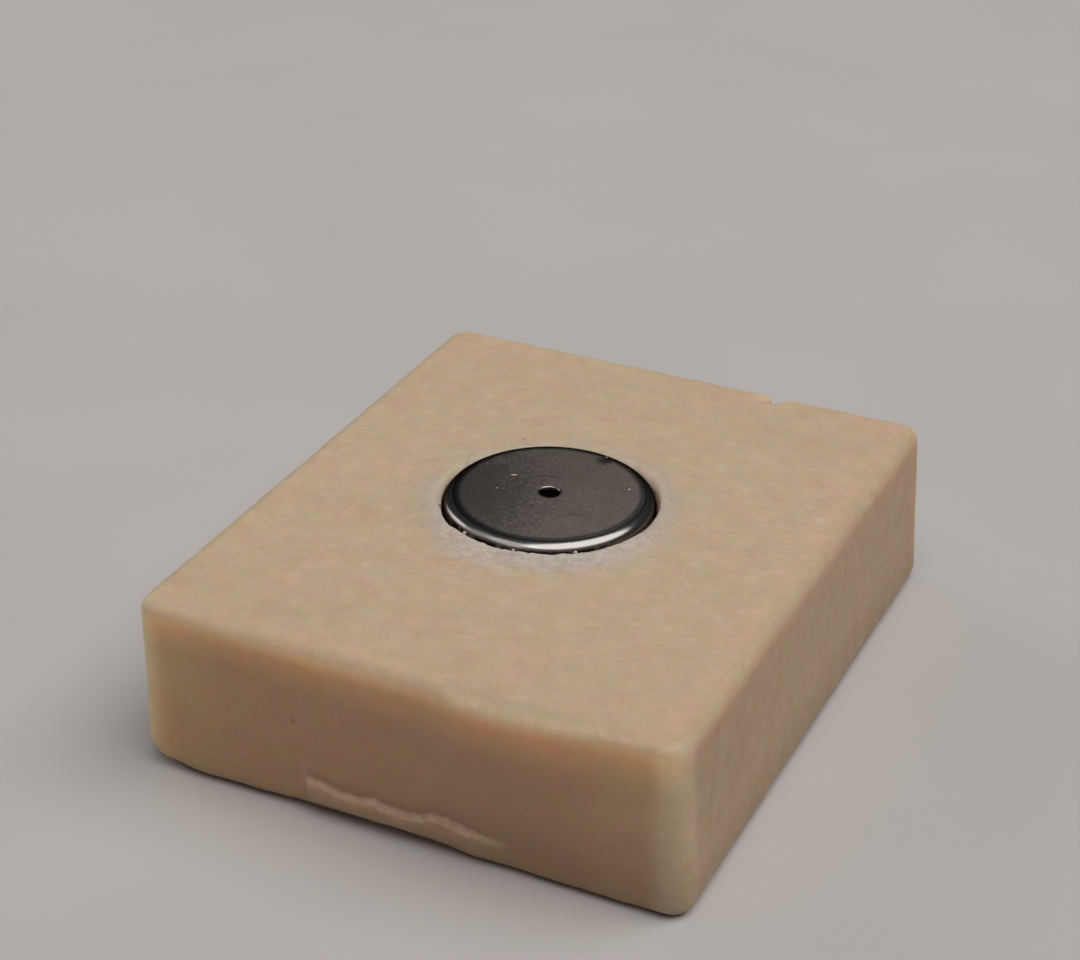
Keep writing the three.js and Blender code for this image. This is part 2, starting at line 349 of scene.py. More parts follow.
# How closely the soap's mesh is spaced, in millimetres, and finer where there is more to show
STATIONS = 560
COARSE_SPACING = 0.66
CORNER_SPACING = 0.3
LEDGE_SPACING = 0.25
CHIP_SPACING = 0.3
LEDGE_RING_SPACING = 0.2
PIT_RING_SPACING = 0.3

# The straight part of the side in millimetres, and the steps in which its rings are spaced out
STRAIGHT_SIDE = 18
SIDE_LEVELS = 2000

# Rings over each part of the skin, and how far along its wall each ring of the slit and the plug lies
UNDERSIDE_RINGS = 11
FOOT_RINGS = 9
EDGE_RINGS = 10
TOP_RINGS = 36
LIP_RINGS = 35
PLUG_RINGS = 9
MOUTH_PARTS = (0.06, 0.2, 0.4, 0.6, 0.8, 1.0)
SLIT_PARTS = (0.35, 0.7, 1.0)
PLUG_PARTS = (0.0, 0.3, 0.6, 0.93, 1.0)

# The smallest ring round a hub, against the largest
INNERMOST = 0.06

# How far a knock in the edge still shows on the top face, and how much more the foot's left corner is worn
EDGE_REACH = 1.2 * MM
LEFT_CORNER_WEAR = 1.5 * MM

# How round each upright corner is against the others: the back right one is the sharpest
CORNER_SHARES = (1.0, 0.66, 1.0, 1.0)


def outline(bar):
    """Stations round the outline, anticlockwise from the front right corner: x, y and outward x, y."""
    corners = []
    for c, share_of_radius in enumerate(CORNER_SHARES):
        radius = bar.corner_radius * share_of_radius
        x = (bar.width / 2 - radius) * (1, 1, -1, -1)[c]
        y = (bar.depth / 2 - radius) * (-1, 1, 1, -1)[c]
        turns = np.linspace(QUARTER * (c - 1), QUARTER * c, CORNER_STEPS)
        out_x, out_y = np.cos(turns), np.sin(turns)
        corners.append(list(zip(x + radius * out_x, y + radius * out_y, out_x, out_y)))
    path = []
    for c, corner in enumerate(corners):
        path += corner
        last, following = corner[-1], corners[(c + 1) % 4][0]
        for part in np.linspace(0, 1, SIDE_STEPS)[1:-1]:
            side_x = last[0] + (following[0] - last[0]) * part
            side_y = last[1] + (following[1] - last[1]) * part
            path.append((side_x, side_y, last[2], last[3]))
    path.append(path[0])
    path = np.array(path)
    middles = (path[1:] + path[:-1]) / 2
    steps = np.linalg.norm(np.diff(path[:, :2], axis=0), axis=1)
    spacing = np.full(len(steps), COARSE_SPACING)
    turning = np.min(np.abs(middles[:, 2:]), axis=1) > 1e-6
    spacing[turning] = CORNER_SPACING
    front = middles[:, 3] < -0.999
    share_across = middles[:, 0] / bar.width
    beside_ledge = (share_across > PIT_SHARE - 0.02) & (share_across < LEDGE_SHARES[1] + 0.01)
    spacing[front & beside_ledge] = LEDGE_SPACING
    back = middles[:, 3] > 0.999
    spacing[back & (np.abs(share_across - CHIP_SHARE) < 0.06)] = CHIP_SPACING
    walk = np.concatenate([[0], np.cumsum(steps / spacing)])
    stops = np.linspace(0, walk[-1], STATIONS, endpoint=False)
    stations = np.stack([np.interp(stops, walk, path[:, k]) for k in range(4)], axis=1)
    stations[:, 2:] /= np.linalg.norm(stations[:, 2:], axis=1, keepdims=True)
    return stations


def wall_shares():
    """Heights of the rings up the side as shares of the wall, closer together at the ledge and the pit."""
    levels = np.linspace(0, 1, SIDE_LEVELS + 1)
    spacing = np.full(len(levels), COARSE_SPACING)
    spacing[levels < 0.27] = LEDGE_RING_SPACING
    spacing[(levels > 0.48) & (levels < 0.57)] = PIT_RING_SPACING
    walk = np.cumsum(STRAIGHT_SIDE / SIDE_LEVELS / spacing)
    count = int(walk[-1])
    return np.interp(np.linspace(0, walk[-1], count + 1), walk, levels)[1:-1]


def soap_rings(shape):
    """Every ring of the soap's skin, from under its middle up, over the top and into the slit."""
    sides, side_kinds = side_rings(shape)
    over, over_kinds = top_rings(shape, sides[-1])
    return np.concatenate([sides, over]), side_kinds + over_kinds


def side_rings(shape):
    """The rings of the underside, the foot, the side and the top edge."""
    bar = shape.bar
    stations = outline(bar)
    at, out = stations[:, :2], stations[:, 2:]
    wear = stretch(at[:, 0], bar.width, WORN_SHARES) * shape.frontness(at[:, 1])
    wander = np.column_stack([at, np.zeros(len(at))])
    uneven_edge = 1 - 0.16 * np.abs(rough(wander, 7 * MM, 3)) + 0.08 * rough(wander, 2.4 * MM, 4)
    foot_radius = bar.foot_edge_radius + (bar.worn_foot_radius - bar.foot_edge_radius) * wear
    foot_radius = foot_radius * uneven_edge
    from_corner = np.linalg.norm(at - np.array([-bar.width, -bar.depth]) / 2, axis=1)
    foot_radius = foot_radius + LEFT_CORNER_WEAR * (1 - ramp(from_corner, 1.5 * MM, 9 * MM))
    top_radius = bar.top_edge_radius + (bar.worn_edge_radius - bar.top_edge_radius) * wear
    top_radius = top_radius * uneven_edge

    def edge_ring(angle, radius, centre):
        inset = radius * (1 - math.cos(angle))
        flat = at - out * inset[:, None]
        return np.column_stack([flat, centre + radius * math.sin(angle)])

    rings, kinds = [], []

    def keep(ring, kind):
        rings.append(ring)
        kinds.append(kind)

    foot = edge_ring(-QUARTER, foot_radius, foot_radius)
    for part in np.linspace(INNERMOST, 1, UNDERSIDE_RINGS)[:-1]:
        keep(foot * part, "underside")
    for angle in np.linspace(-QUARTER, 0, FOOT_RINGS):
        keep(edge_ring(angle, foot_radius, foot_radius), "foot")
    top_start = bar.height - top_radius
    for part in wall_shares():
        keep(np.column_stack([at, foot_radius + (top_start - foot_radius) * part]), "wall")
    for angle in np.linspace(0, QUARTER, EDGE_RINGS):
        keep(edge_ring(angle, top_radius, top_start), "edge")
    cut = shape.hand_cut(np.array(rings))
    return knocks(shape, torn_ledge(shape, cut)), kinds


def top_rings(shape, rim):
    """The rings from the top face's rim across to the lip, down the slit and over the plug."""
    bar = shape.bar
    from_axis = rim[:, :2] - shape.axis
    turn = np.arctan2(from_axis[:, 1], from_axis[:, 0])
    far = np.linalg.norm(from_axis, axis=1)
    near = shape.slit_outer + bar.lip_width * LIP_FOOT_SHARE
    rings, kinds = [], []

    def keep(radius, z, kind):
        radius = np.broadcast_to(radius, turn.shape)
        z = np.broadcast_to(z, turn.shape)
        x = shape.axis[0] + radius * np.cos(turn)
        y = shape.axis[1] + radius * np.sin(turn)
        rings.append(np.column_stack([x, y, z]))
        kinds.append(kind)

    for part in np.linspace(0, 1, TOP_RINGS)[1:]:
        gone = (far - near) * part
        level = bar.height + (rim[:, 2] - bar.height) * np.exp(-((gone / EDGE_REACH) ** 2))
        keep(far - gone, level, "top")
    gape = ramp(shape.mouth(turn), 0.1 * MM, 0.4 * MM)
    ragged_mouth = shape.mouth(turn) + squeeze(turn, 41) * (0.02 + 0.07 * gape) * MM
    mouth_radius = shape.slit_outer + np.maximum(ragged_mouth, 0.0)
    for part in np.linspace(0, 1, LIP_RINGS)[1:]:
        radius = near + (mouth_radius - near) * (1 - (1 - part) ** 1.35)
        keep(radius, bar.height + lip_level(shape, turn, radius), "lip")
    brink = rings[-1][:, 2]
    root = bar.height - MOUTH_DEPTH
    for part in MOUTH_PARTS:
        radius = mouth_radius + (shape.slit_outer - mouth_radius) * part
        scored = radius + 0.05 * MM * np.sin(part * math.pi) * squeeze(turn, 50 + part)
        keep(np.maximum(scored, shape.slit_outer), brink + (root - brink) * part, "slit")
    for part in SLIT_PARTS:
        keep(shape.slit_outer, root + (shape.slit_foot - root) * part, "slit")
    plug_rim = cap_high.z - PLUG_DEPTH
    for part in PLUG_PARTS:
        inset = PLUG_CHAMFER if part == 1.0 else 0.0
        keep(shape.slit_inner - inset, shape.slit_foot + (plug_rim - shape.slit_foot) * part, "slit")
    for part in np.linspace(1, INNERMOST, PLUG_RINGS)[1:]:
        keep(shape.slit_inner * part, plug_rim + PLUG_CROWN * (1 - part * part), "slit")
    return np.array(rings), kinds


def squeeze(turn, seed):
    """Ragged noise round the cap, from about -1 to 1, where soap was squeezed past the steel."""
    place = np.column_stack([np.cos(turn), np.sin(turn), np.zeros_like(turn)]) * 13.3 * MM
    return rough(place, 1.6 * MM, seed) + 0.6 * rough(place, 0.6 * MM, seed + 1)


def lip_level(shape, turn, radius):
    """The lip with the lumps of squeezed soap on it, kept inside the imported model's height."""
    level = shape.lip(turn, radius)
    place = np.column_stack([radius * np.cos(turn), radius * np.sin(turn), np.zeros_like(turn)])
    body = ramp(level, 0, 0.3 * MM)
    brink = 1 - ramp(radius - shape.slit_outer, 0.5 * MM, 2.2 * MM)
    lumps = 0.13 * MM * rough(place, 1.6 * MM, 21) + 0.07 * MM * rough(place, 0.6 * MM, 22)
    frill = 0.1 * MM * rough(place, 0.45 * MM, 23) * brink
    return np.minimum(level + (lumps + frill) * body, shape.lip_limit - 0.02 * MM)


def torn_ledge(shape, rings):
    """Pulls the foot of the front face out to the torn ledge, which is tucked back below."""
    face = -shape.bar.depth / 2
    reach, top = shape.ledge(rings[:, :, 0])
    grit = np.stack([rings[:, :, 0], np.zeros_like(top), rings[:, :, 2]], axis=-1)
    reach = reach * (1 + 0.25 * rough(grit, 0.9 * MM, 33) + 0.16 * rough(grit, 0.4 * MM, 34))
    heights, shares_out = zip(*LEDGE_SECTION)
    share_out = np.interp(rings[:, :, 2] / top, heights, shares_out, left=0, right=0)
    front = rings[:, :, 1] < face + 3 * MM
    rings[:, :, 1] -= np.clip(reach, 0, shape.bar.ledge_reach * 1.1) * share_out * front
    return rings


def knocks(shape, rings):
    """Breaks the chip out of the back edge and presses the pit into the front face."""
    bar = shape.bar
    pit = np.array([PIT_SHARE * bar.width, -bar.depth / 2, PIT_HEIGHT_SHARE * bar.height])
    away = (rings - pit) / (bar.pit_diameter / 2)
    far = np.linalg.norm(away, axis=-1)
    rings[:, :, 1] += bar.pit_depth * (1 - ramp(far, 0.25, 1.15))

    # The chip is steepest at its left end and runs out towards its right end
    from_start = (rings[:, :, 0] / bar.width - CHIP_SHARE) * bar.width / bar.chip_length + 0.5
    ragged = 1 + 0.25 * rough(rings, 1.1 * MM, 61)
    deep = bar.chip_depth * ragged * ramp(from_start, -0.06, 0.14) * (1 - ramp(from_start, 0.25, 1.05))
    below = bar.height - rings[:, :, 2]
    inside = bar.depth / 2 - rings[:, :, 1]
    sunk = np.maximum(deep * 0.75 - (inside + below) * 0.45, 0)
    rings[:, :, 2] -= sunk * (below < 3 * MM)
    rings[:, :, 1] -= sunk * 0.8 * (inside < 3 * MM)
    return rings


# The soap's broad, medium and small waves: how far apart they are, and how deep on the sides and on the top
WAVE_SIZES = (14 * MM, 4.2 * MM, 1.3 * MM)
SIDE_WAVES = (0.09 * MM, 0.03 * MM, 0.01 * MM)
TOP_WAVES = (0.05 * MM, 0.035 * MM, 0.014 * MM)
UNDERSIDE_WAVE = 0.05 * MM


def weather(shape, rings, kinds):
    """The knife's and the hand's unevenness over the skin, inwards only on the sides."""
    kinds = np.array(kinds)
    broad, medium, small = (rough(rings, size, 71 + i) for i, size in enumerate(WAVE_SIZES))
    side = np.isin(kinds, ("wall", "foot", "edge"))[:, None]
    deep, less, fine = SIDE_WAVES
    inwards = (deep * (1 + broad) + less * (1 + medium) + fine * small) * side
    across = np.abs(rings[:, :, 0]) / shape.bar.width
    along = np.abs(rings[:, :, 1]) / shape.bar.depth
    nearest_face = np.maximum(across, along) - 0.03
    leaves_x = np.sign(rings[:, :, 0]) * (across > nearest_face)
    leaves_y = np.sign(rings[:, :, 1]) * (along > nearest_face)
    rings[:, :, :2] -= np.stack([leaves_x, leaves_y], axis=-1) * inwards[..., None]
    top = np.isin(kinds, ("top", "edge"))[:, None] * ramp(rings[:, :, 2], 20.5 * MM, 21.9 * MM)
    deep, less, fine = TOP_WAVES
    rings[:, :, 2] += top * (deep * (broad - 0.6) + less * medium + fine * small)
    under = (kinds == "underside")[:, None]
    rings[:, :, 2] += under * UNDERSIDE_WAVE * (1 + medium)
    return rings


def beside_streaks(x, z):
    """1 on the thin streaks beside the ledge's top line, 0 away from them."""
    nearest = np.full(x.shape, 1.0)
    for (from_x, from_z), (to_x, to_z) in TORN_STREAKS:
        run = np.array([to_x - from_x, to_z - from_z]) * MM
        away_x, away_z = x - from_x * MM, z - from_z * MM
        part = np.clip((away_x * run[0] + away_z * run[1]) / (run @ run), 0, 1)
        nearest = np.minimum(nearest, np.hypot(away_x - part * run[0], away_z - part * run[1]))
    return 1 - ramp(nearest, 0.05 * MM, 0.45 * MM)


# Where round the cap the slit's wall is stained and painted less dark
LIGHTER_WALL_TURN = math.radians(14)


def masks(shape, rings, kinds):
    """How dried, squeezed, torn and so on the soap is at each point, and where shade is painted on it, for
    its material.
    """
    kinds = np.array(kinds)
    shades = round_the_cap(shape, rings, kinds)
    shades.update(over_the_faces(shape, rings, kinds))
    shades["painted_shade"] = painted_shade_parts(shape, rings) * (kinds != "slit")[:, None]
    shades["torn"] = torn_parts(shape, rings)
    return shades


def round_the_cap(shape, rings, kinds):
    """How squeezed, flaky and stained the soap is round the cap and in its slit, with painted shade deep in
    the slit and on the plug.
    """
    x, y, z = rings[:, :, 0], rings[:, :, 1], rings[:, :, 2]
    far = np.hypot(x - shape.axis[0], y - shape.axis[1])
    turn = np.arctan2(y - shape.axis[1], x - shape.axis[0])
    upper = np.isin(kinds, ("top", "lip"))[:, None]
    in_slit = (kinds == "slit")[:, None]
    nearness = ramp(np.cos(turn - NEAR_TURN), -0.7, 0.3)
    nearest = ramp(np.cos(turn - NEAR_TURN), 0.1, 0.85)
    reach = shape.slit_outer + shape.lip_width(turn) * (0.75 + 0.5 * rough(rings, 3 * MM, 81))
    reach = reach + nearest * 1.8 * MM
    squeezed = upper * (1 - ramp(far, reach - 2.2 * MM, reach + 1.2 * MM))
    squeezed = squeezed * (0.35 + 0.65 * nearness)

    # Stained in the slit, and painted darker as shade the deeper it goes; less on its lighter side and
    # under the disc, but for a spot below the hole that is painted dark as the vent's shade
    lighter_wall = ramp(np.cos(turn - LIGHTER_WALL_TURN), 0.7, 0.95)
    stain_and_shade = in_slit * (0.3 + 0.7 * ramp(shape.bar.height - z, 0.1 * MM, 1.6 * MM)) * (1 - 0.97 * lighter_wall)
    under_disc = (1 - ramp(far, 10.4 * MM, 11.8 * MM)) * ramp(far, 1.5 * MM, 3.4 * MM)
    return {
        "squeezed": np.maximum(squeezed, 0.9 * in_slit),
        "flaky": squeezed * nearest,
        "stain_and_shade": stain_and_shade * (1 - 0.62 * under_disc),
    }


def over_the_faces(shape, rings, kinds):
    """How dried, filmed over, yellow and streaked the soap's faces are, and where painted edge shade and
    painted glow lie.
    """
    bar = shape.bar
    x, y, z = rings[:, :, 0], rings[:, :, 1], rings[:, :, 2]
    below = bar.height - z
    from_front = y + bar.depth / 2
    from_left = x + bar.width / 2
    from_side = bar.width / 2 - np.abs(x)
    from_end = bar.depth / 2 - np.abs(y)
    from_rim = np.minimum(from_side, from_end)
    on_front = 1 - ramp(from_front, 0.2 * MM, 3.2 * MM)
    on_sides = (1 - ramp(from_side, 0.2 * MM, 3.2 * MM)) * ramp(from_front, 1 * MM, 6 * MM)
    front_face = (1 - ramp(from_front, 0.6 * MM, 2.4 * MM)) * ramp(below, 0.6 * MM, 1.8 * MM)
    corner = (1 - ramp(from_side, 0.4 * MM, 3.6 * MM)) * (1 - ramp(from_end, 0.4 * MM, 3.6 * MM))

    # Dried all over but for the front between its corners and, less, the sides and the underside; on the
    # sides the darker cut colour is painted shade
    beside_corner = ramp(from_side, 0.8 * MM, 4.5 * MM)
    dried = 1 - ramp(below, 0.4 * MM, 2.4 * MM) * np.maximum(on_front * beside_corner, 0.45 * on_sides)
    dried = dried * (1 - 0.7 * (kinds == "underside")[:, None])
    # The top edge is painted darker: painted shade along it, less on the front and at the corners
    top_edge = (1 - ramp(below, 0.5 * MM, 2.2 * MM)) * (1 - ramp(from_rim, 0.6 * MM, 2.6 * MM))
    top_edge = top_edge * (1 - 0.35 * on_front)

    # Painted glow below the front's top edge and at its left end, where light comes through the soap, and
    # both its ends are yellower
    painted_glow = front_face * (1 - ramp(below, 2.2 * MM, 7 * MM))
    painted_left_light = 0.55 * (1 - ramp(from_left, 2.5 * MM, 6 * MM)) + 0.4 * (1 - ramp(from_left, 4 * MM, 30 * MM))
    yellow_ends = (1 - ramp(from_side, 5 * MM, 13 * MM)) * front_face
    yellow_ends = yellow_ends * (1 - 0.6 * ramp(below, 6 * MM, 14 * MM)) * (1 - 0.9 * corner)
    streaked = np.isin(kinds, ("top", "lip"))[:, None] * ramp(from_front, 8 * MM, 20 * MM)
    streaked = streaked * (1 - ramp(from_front, 56 * MM, 74 * MM))
    return {
        "dried": dried,
        "film": corner,
        "painted_edge_shade": top_edge * (1 - 0.6 * corner),
        "painted_glow": np.maximum(painted_glow, painted_left_light * front_face),
        "yellow_ends": yellow_ends,
        "streaked": streaked,
    }


def painted_shade_parts(shape, rings):
    """Painted shade on the soap: darker along its foot, over the ledge's top line and on the right face."""
    bar = shape.bar
    x, y, z = rings[:, :, 0], rings[:, :, 1], rings[:, :, 2]
    from_front = y + bar.depth / 2
    reach, top = shape.ledge(x)
    rightness = ramp(x / bar.width, -0.3, 0.5)
    foot = (1 - ramp(z, 1 * MM, 12 * MM)) * (0.35 + 0.65 * rightness)
    above_line = ramp(top - z, -2.2 * MM, -0.3 * MM) * (1 - ramp(top - z, -0.3 * MM, 0.1 * MM))
    above_line = 0.8 * above_line * (from_front < 0.6 * MM) * ramp(reach, 0.1 * MM, 0.5 * MM)
    on_right = (1 - ramp(bar.width / 2 - x, 0.2 * MM, 2.4 * MM)) * ramp(from_front, 1.5 * MM, 5 * MM)
    on_right = on_right * ramp(bar.height - z, 0.4 * MM, 2.4 * MM)
    on_right = on_right * (0.55 - 0.2 * ramp(from_front, 8 * MM, 40 * MM))
    return np.maximum(np.maximum(foot, above_line), on_right)


def torn_parts(shape, rings):
    """How torn the soap is: on the ledge, most along its top line, beside it and in the chip."""
    bar = shape.bar
    x, y, z = rings[:, :, 0], rings[:, :, 1], rings[:, :, 2]
    reach, top = shape.ledge(x)
    along = np.stack([x, np.zeros_like(x), np.zeros_like(x)], axis=-1)
    thickness = (0.42 + 0.3 * rough(along, 2.2 * MM, 35) + 0.22 * rough(along, 0.8 * MM, 36)) * MM
    thickness = np.maximum(thickness, 0.1 * MM)
    line = ramp(top - z, -0.3 * MM, -0.05 * MM) * (1 - ramp(top - z, 0.0, thickness))
    line = np.maximum(line, 0.6 * ramp(top - z, -0.1 * MM, 0.3 * MM))
    torn = np.maximum(line * ramp(reach, 0.05 * MM, 0.4 * MM), 0.8 * beside_streaks(x, z))
    torn = torn * (y + bar.depth / 2 < 0.6 * MM)
    chip = np.array((CHIP_SHARE * bar.width, bar.depth / 2, bar.height))
    from_chip = np.linalg.norm((rings - chip) / (bar.chip_length / 2), axis=-1)
    return np.maximum(torn, 0.4 * (1 - ramp(from_chip, 0.6, 1.1)))


# Meshes


def ring_mesh(name, rings, hubs=(), closed=False):
    """A skin through rings of points, each anticlockwise seen from the last one, with a fan to each hub."""
    count = rings.shape[1]
    points = rings.reshape(-1, 3)
    here = np.arange(count)
    after = np.roll(here, -1)
    pairs = len(rings) if closed else len(rings) - 1
    faces = []
    for k in range(pairs):
        low, high = k * count, (k + 1) % len(rings) * count
        faces.append(np.column_stack([low + here, low + after, high + after, high + here]))
    quads = np.concatenate(faces)
    triangles = []
    for end, hub in enumerate(hubs):
        base = end * (len(rings) - 1) * count
        centre = len(points)
        points = np.vstack([points, hub])
        first, second = (here, after) if end else (after, here)
        triangles.append(np.column_stack([base + first, base + second, np.full(count, centre)]))
    mesh = bpy.data.meshes.new(name)
    loops = [*quads, *(row for fan in triangles for row in fan)]
    mesh.from_pydata(points.tolist(), [], [list(map(int, loop)) for loop in loops])
    mesh.validate()
    mesh.shade_smooth()
    return mesh


def place_piece(name, mesh, body, material, replaced=None):
    piece = bpy.data.objects.new(name, mesh)
    bpy.context.scene.collection.objects.link(piece)
    mesh.materials.append(material)
    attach(piece, body)
    if replaced:
        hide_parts(replaced)


def add_mask(mesh, label, values):
    """Keeps one value for each point of a mesh, for its material."""
    layer = mesh.attributes.new(label, "FLOAT", "POINT")
    layer.data.foreach_set("value", values.astype(np.float32))


def build_soap(scene):
    shape = BarShape(scene.soap_bar_settings, scene.steel_cap_settings)
    rings, kinds = soap_rings(shape)
    rings = weather(shape, rings, kinds)
    shades = masks(shape, rings, kinds)
    rings = rings + shape.shift
    under_hub = rings[0].mean(axis=0)
    plug_hub = rings[-1].mean(axis=0) + np.array([0.0, 0.0, 0.001 * MM])
    mesh = ring_mesh("hand_cut_bar", rings, hubs=(under_hub, plug_hub))
    for label, values in shades.items():
        ends = [values[0].mean(), values[-1].mean()]
        add_mask(mesh, label, np.concatenate([values.ravel(), ends]))
    return mesh


# Rings over the cap's sheet, stations round it, and how much its cut edge is rounded
VENT_EDGE_RINGS = 7
DISC_RINGS = 18
SHOULDER_RINGS = 16
SKIRT_RINGS = 6
STATIONS_PER_TOOTH = 20
SHEET_EDGE = 0.04 * MM


def teeth(cap):
    """Stations round the skirt, and how far its foot rises there between the tips of its teeth."""
    radius = cap.diameter / 2
    pitch = FULL * radius / cap.tooth_count
    half_mouth = (pitch - cap.tooth_tip_width) / 2
    half_gullet = cap.gullet_width / 2
    flank = (STATIONS_PER_TOOTH - 2) // 2
    one_side = np.linspace(half_gullet, half_mouth, flank)
    offsets = np.concatenate([-one_side[::-1], one_side, [pitch / 2]])
    turn = np.concatenate([(k * pitch + offsets) / radius for k in range(cap.tooth_count)])
    from_gullet = np.abs((turn * radius + pitch / 2) % pitch - pitch / 2)
    return turn, np.interp(from_gullet, (half_gullet, half_mouth), (cap.tooth_depth, 0.0))


def cap_section(cap, foot):
    """The drawn sheet in section, from the hole's edge out, down the skirt and back up inside."""
    radius = cap.diameter / 2
    vent = cap.vent_diameter / 2
    bend = cap.shoulder_radius
    hollow_bend = bend - cap.sheet
    flat = radius - bend
    level = np.zeros_like(foot)

    def crown(across):
        return -cap.crown_drop * (across / flat) ** 2

    edge_foot = cap.vent_edge_radius * 1.3
    section = [(vent, level - cap.sheet * 0.8 + crown(vent)), (vent, level - edge_foot + crown(vent))]
    for angle in np.linspace(math.pi, QUARTER, VENT_EDGE_RINGS):
        across = vent + cap.vent_edge_radius * (1 + math.cos(angle))
        section.append((across, level + cap.vent_edge_radius * (math.sin(angle) - 1) + crown(across)))
    for across in np.linspace(vent + cap.vent_edge_radius, flat, DISC_RINGS)[1:-1]:
        section.append((across, level + crown(across)))
    shoulder_foot = level - cap.crown_drop - bend
    for angle in np.linspace(QUARTER, 0, SHOULDER_RINGS):
        section.append((flat + bend * math.cos(angle), shoulder_foot + bend * math.sin(angle)))
    skirt = foot + SHEET_EDGE - shoulder_foot
    for part in np.linspace(0, 1, SKIRT_RINGS)[1:]:
        section.append((radius, shoulder_foot + skirt * part))
    section.append((radius - SHEET_EDGE, foot))
    section.append((radius - cap.sheet + SHEET_EDGE, foot))
    for part in np.linspace(1, 0, SKIRT_RINGS - 1)[:-1]:
        section.append((radius - cap.sheet, shoulder_foot + skirt * part))
    for angle in np.linspace(0, QUARTER, SKIRT_RINGS):
        across = flat + hollow_bend * math.cos(angle)
        section.append((across, shoulder_foot + hollow_bend * math.sin(angle)))
    for across in np.linspace(flat, vent + 0.3 * MM, SKIRT_RINGS)[1:]:
        section.append((across, level - cap.sheet + crown(across)))
    section.append((vent + 0.06 * MM, level - cap.sheet + crown(vent)))
    return section


def build_cap(scene):
    cap = scene.steel_cap_settings
    turn, rise = teeth(cap)
    rings = []
    for across, up in cap_section(cap, rise - cap.height):
        rings.append(np.column_stack([across * np.cos(turn), across * np.sin(turn), up]))
    rings = np.array(rings)
    flat = cap.diameter / 2 - cap.shoulder_radius
    bent = np.clip((np.linalg.norm(rings[:, :, :2], axis=-1) - flat) / cap.shoulder_radius, -1, 1)
    depth = -rings[:, :, 2]
    # The shoulder's lower part beside the lip is painted dark: painted shade and reflection of the gap
    beside_lip = ramp(np.cos(turn - GAP_SHADE_TURN), 0.5, 0.75)
    gap_shade = (bent > 0.7) * beside_lip * ramp(depth, 0.72 * MM, 0.95 * MM)
    gap_shade = gap_shade * (1 - 0.7 * ramp(depth, 1.6 * MM, 2.4 * MM))
    rings = dent(rings)
    rings = rings[:, ::-1, :] + np.array([cap_middle.x, cap_middle.y, cap_high.z])
    mesh = ring_mesh("drawn_cap", rings, closed=True)
    add_mask(mesh, "bent", bent[:, ::-1].ravel())
    add_mask(mesh, "gap_shade", gap_shade[:, ::-1].ravel())
    return mesh


# Where round the cap the shoulder's lower part is painted dark: painted shade and reflection of the dark
# gap beside the lip
GAP_SHADE_TURN = math.radians(-82)

# A knock in the rim: where it is from the cap's axis, how wide and how deep
DENT_PLACE = (2.6 * MM, 10.4 * MM)
DENT_WIDTH = 0.55 * MM
DENT_DEPTH = 0.04 * MM


def dent(rings):
    away = np.linalg.norm(rings[:, :, :2] - np.array(DENT_PLACE), axis=-1)
    upper = rings[:, :, 2] > -1.2 * MM
    rings[:, :, 2] -= upper * DENT_DEPTH * np.exp(-((away / DENT_WIDTH) ** 2))
    return rings


def lump(bm, place, size, seed, spin, lean=0.0):
    """One closed irregular crumb: size gives its half lengths."""
    made = bmesh.ops.create_icosphere(bm, subdivisions=2, radius=1.0)
    turned = Matrix.Rotation(spin, 3, "Z") @ Matrix.Rotation(lean, 3, "X")
    for vertex in made["verts"]:
        point = vertex.co.copy()
        broad = noise.noise(point * 1.3 + Vector((seed, 0, 0)))
        fine = noise.noise(point * 3.1 + Vector((0, seed, 0)))
        swell = 1 + 0.45 * broad + 0.25 * fine
        point = Vector(point[k] * size[k] * swell for k in range(3))
        vertex.co = turned @ point + Vector(place)


def finish_lumps(bm, name):
    mesh = bpy.data.meshes.new(name)
    bm.to_mesh(mesh)
    bm.free()
    mesh.shade_smooth()
    return mesh


def soap_tree():
    soap = bpy.data.objects.get("hand_cut_bar")
    if soap is None:
        raise RuntimeError("Build the soap bar first: the crumbs lie on it")
    mesh = soap.data
    return BVHTree.FromPolygons([v.co for v in mesh.vertices], [p.vertices for p in mesh.polygons])


# Larger crumbs beside the cap: degrees round it, millimetres from its axis, and size in millimetres
SEEN_CRUMBS = (
    (-83.4, 13.2, 0.34),
    (-114.0, 13.2, 0.42),
    (-51.6, 13.2, 0.34),
    (-3.4, 14.1, 0.34),
    (-10.0, 15.2, 0.28),
    (-88.5, 14.5, 0.26),
    (-103.0, 14.2, 0.30),
    (-60.5, 16.4, 0.34),
    (-72.5, 16.1, 0.30),
    (-45.0, 17.0, 0.30),
    (56.0, 15.2, 0.26),
    (24.0, 14.6, 0.30),
)
CRUMB_SEED = 4107

# How far a crumb that lies across the slit or on its brink stands over the top
BRIDGE_RISE = 0.3 * MM


